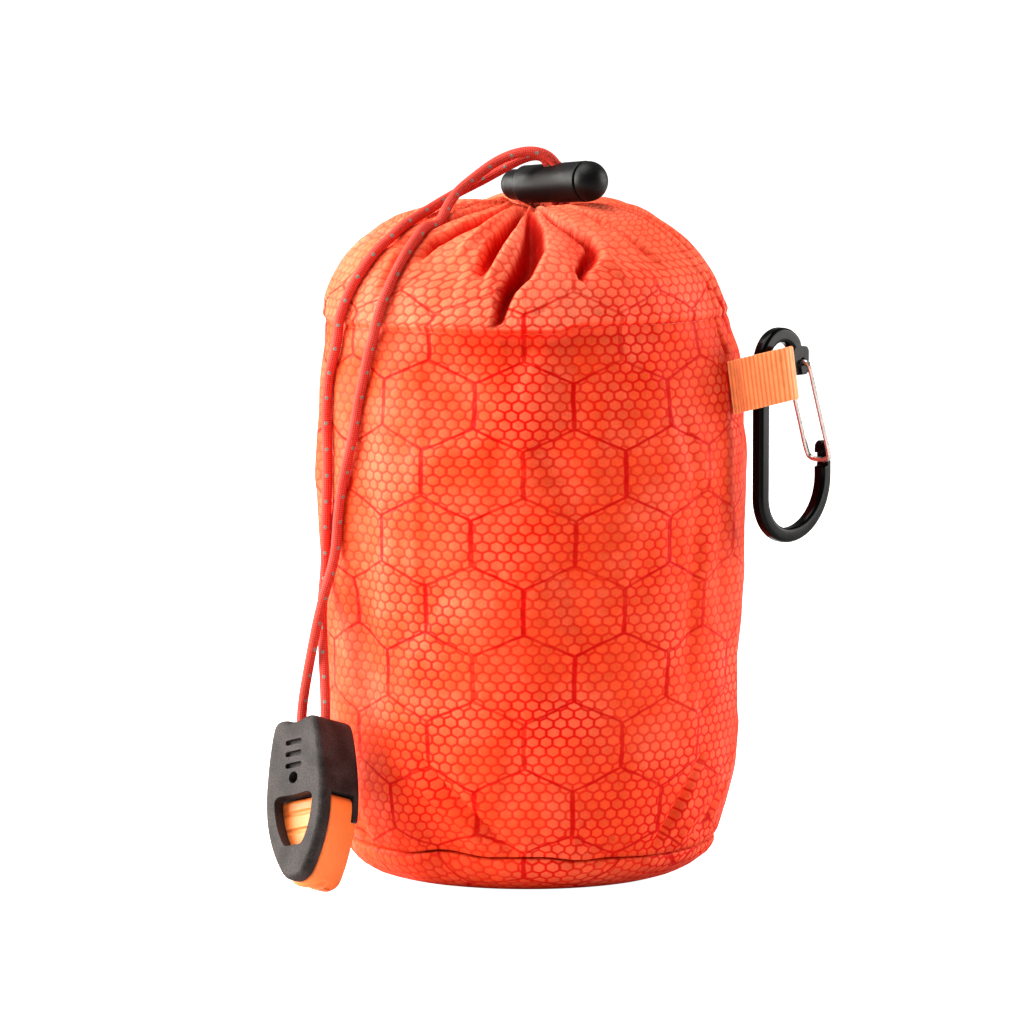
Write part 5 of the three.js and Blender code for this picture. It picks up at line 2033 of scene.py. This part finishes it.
CORD_LEGS = (
    CordLeg(
        "drawcord_leg_a", "cord_leg_a", 1, -1,
        (
            (5.2, -8.1, 172), (2.2, -8.2, 173.5), (-2, -7.9, 173.6), (-8.4, -7.7, 171.2),
            (-13.7, -9.7, 167.3), (-18.8, -15.2, 163.1),
        ),
        (
            (-23.3, -23.4, 158.2), (-25.8, -27.5, 155), (-28.2, -31, 151), (-32.4, -34.6, 141.5),
            (-35.6, -34, 133), (-39.2, -31.4, 122), (-41.9, -30, 109.4), (-44.6, -26.5, 94.4),
            (-46.3, -25.5, 80),
        ),
        ((-49.9, -26.2, 67), (-52.2, -27.8, 56)),
    ),
    CordLeg(
        "drawcord_leg_b", "cord_leg_b", -1, 1,
        (
            (3.9, -5.5, 172.5), (0.6, -5.2, 172.8), (-5, -4.4, 170.3), (-11, -4.8, 166.9),
            (-17.5, -7.8, 163.8),
        ),
        (
            (-24.2, -14, 160), (-31.5, -22, 154.5), (-38.5, -25, 147), (-43, -24.5, 138.5),
            (-46.2, -21.5, 128), (-48.7, -19, 114), (-49, -19.2, 101), (-49.4, -18.6, 88),
            (-49.6, -18.6, 76),
        ),
        ((-49.9, -20.8, 66), (-49.4, -26.4, 55)),
    ),
)


@dataclass
class Studio:
    """Pale floor, soft lights and the camera at the photograph's angle."""

    target: Spot = (-4.8, 0.0, 86.5)
    distance: float = 1500
    elevation: float = 5.8
    lens: float = 219.5
    floor_size: float = 22000.0
    world_strength: float = 0.232

    def camera(self) -> Piece:
        """Makes the camera, looking level round azimuth zero and a little down.

        Returns:
            The camera.
        """
        data = bpy.data.cameras.new("camera")
        data.lens, data.sensor_width = self.lens, 36.0
        data.clip_start, data.clip_end = 0.01, 50.0
        made = in_scene("camera", data)
        rise = math.radians(self.elevation)
        back = Vector((0, -math.cos(rise), math.sin(rise)))
        made.location = (Vector(self.target) + back * self.distance) * MM
        made.rotation_euler = (-back).to_track_quat("-Z", "Y").to_euler()
        bpy.context.scene.camera = made
        return made

    def floor(self) -> Piece:
        """Makes the plain pale floor.

        Returns:
            The floor.
        """
        signs = ((-1, -1), (1, -1), (1, 1), (-1, 1))
        corners = [(x * self.floor_size, y * self.floor_size, -0.05) for x, y in signs]
        made = mesh_object("floor", np.array(corners), [(0, 1, 2, 3)])
        material, graph, shader = blank("pale_floor")
        tone = graph.remap(graph.noise(graph.place(), 400), 0.3, 0.7, 0.72, 0.76)
        feeds = {
            "Base Color": graph.gray(tone),
            "Roughness": 0.9,
            "Specular IOR Level": 0.1,
            "Emission Color": (1.0, 1.0, 1.0, 1.0),
            "Emission Strength": graph.add("ShaderNodeLightPath").outputs["Is Camera Ray"],
        }
        graph.feed(shader, feeds)
        made.data.materials.append(material)
        return made

    @staticmethod
    def _light(name: str, at: Spot, size: float, power: float, color: Color) -> None:
        """Adds one soft area light that points at the middle of the sack.

        Args:
            name: Name of the light.
            at: Its place, in metres.
            size: Its diameter, in metres.
            power: Its power, in watts.
            color: Its colour.
        """
        data = bpy.data.lights.new(name, "AREA")
        data.shape, data.size, data.energy, data.color = "DISK", size, power, color
        made = in_scene(name, data)
        made.location = at
        aim = Vector((0, 0, 0.08)) - Vector(at)
        made.rotation_euler = aim.to_track_quat("-Z", "Y").to_euler()

    def build(self) -> None:
        """Makes the floor, the lights and the plain surroundings."""
        self.floor()
        self._light("left_key", (-1.16, 0.06, 0.28), 1.3, 80, (1.0, 0.98, 0.93))
        self._light("right_fill", (1.08, 0.24, 0.32), 0.9, 17, (1.0, 0.98, 0.95))
        self._light("top", (-0.4, -0.1, 1.2), 1.2, 24, (1.0, 0.99, 0.96))
        scene = bpy.context.scene
        scene.world = bpy.data.worlds.new("plain")
        scene.world.use_nodes = True
        sky = scene.world.node_tree.nodes["Background"]
        sky.inputs["Color"].default_value = (1.0, 1.0, 1.0, 1.0)
        sky.inputs["Strength"].default_value = self.world_strength
        scene.view_settings.view_transform = "Standard"


def main() -> None:
    """Builds the camera, the cords and every other piece, in order."""
    logging.basicConfig(level=logging.INFO, format="%(name)s %(message)s")
    studio = Studio()
    studio.camera()
    finishes = Finishes()
    sack, lock, whistle, tab = Sack(), CordLock(), Whistle(), WebbingTab()
    wall = sack.build_wall(finishes)
    cloth = BVHTree.FromPolygons(
        [v.co[:] for v in wall.data.vertices], [p.vertices[:] for p in wall.data.polygons]
    )
    on_end = [whistle.build_housing(finishes), whistle.build_insert(finishes)]
    for leg in CORD_LEGS:
        leg.build(leg.route(lock, whistle, cloth), finishes, on_end)
    sack.build_panel(finishes)
    hem = StitchRow().sew("hem_stitches", sack.hem_path(0.9, 0.02), finishes.thread)
    dressed(hem, finishes.thread, ROOT_BODY)
    carabiner = Carabiner(tab)
    carabiner.build_bar(finishes)
    carabiner.build_gate(finishes)
    tab.build(finishes)
    lock.build_barrel(finishes)
    lock.build_plunger(finishes)
    studio.build()
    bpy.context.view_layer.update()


if __name__ == "__main__":
    main()
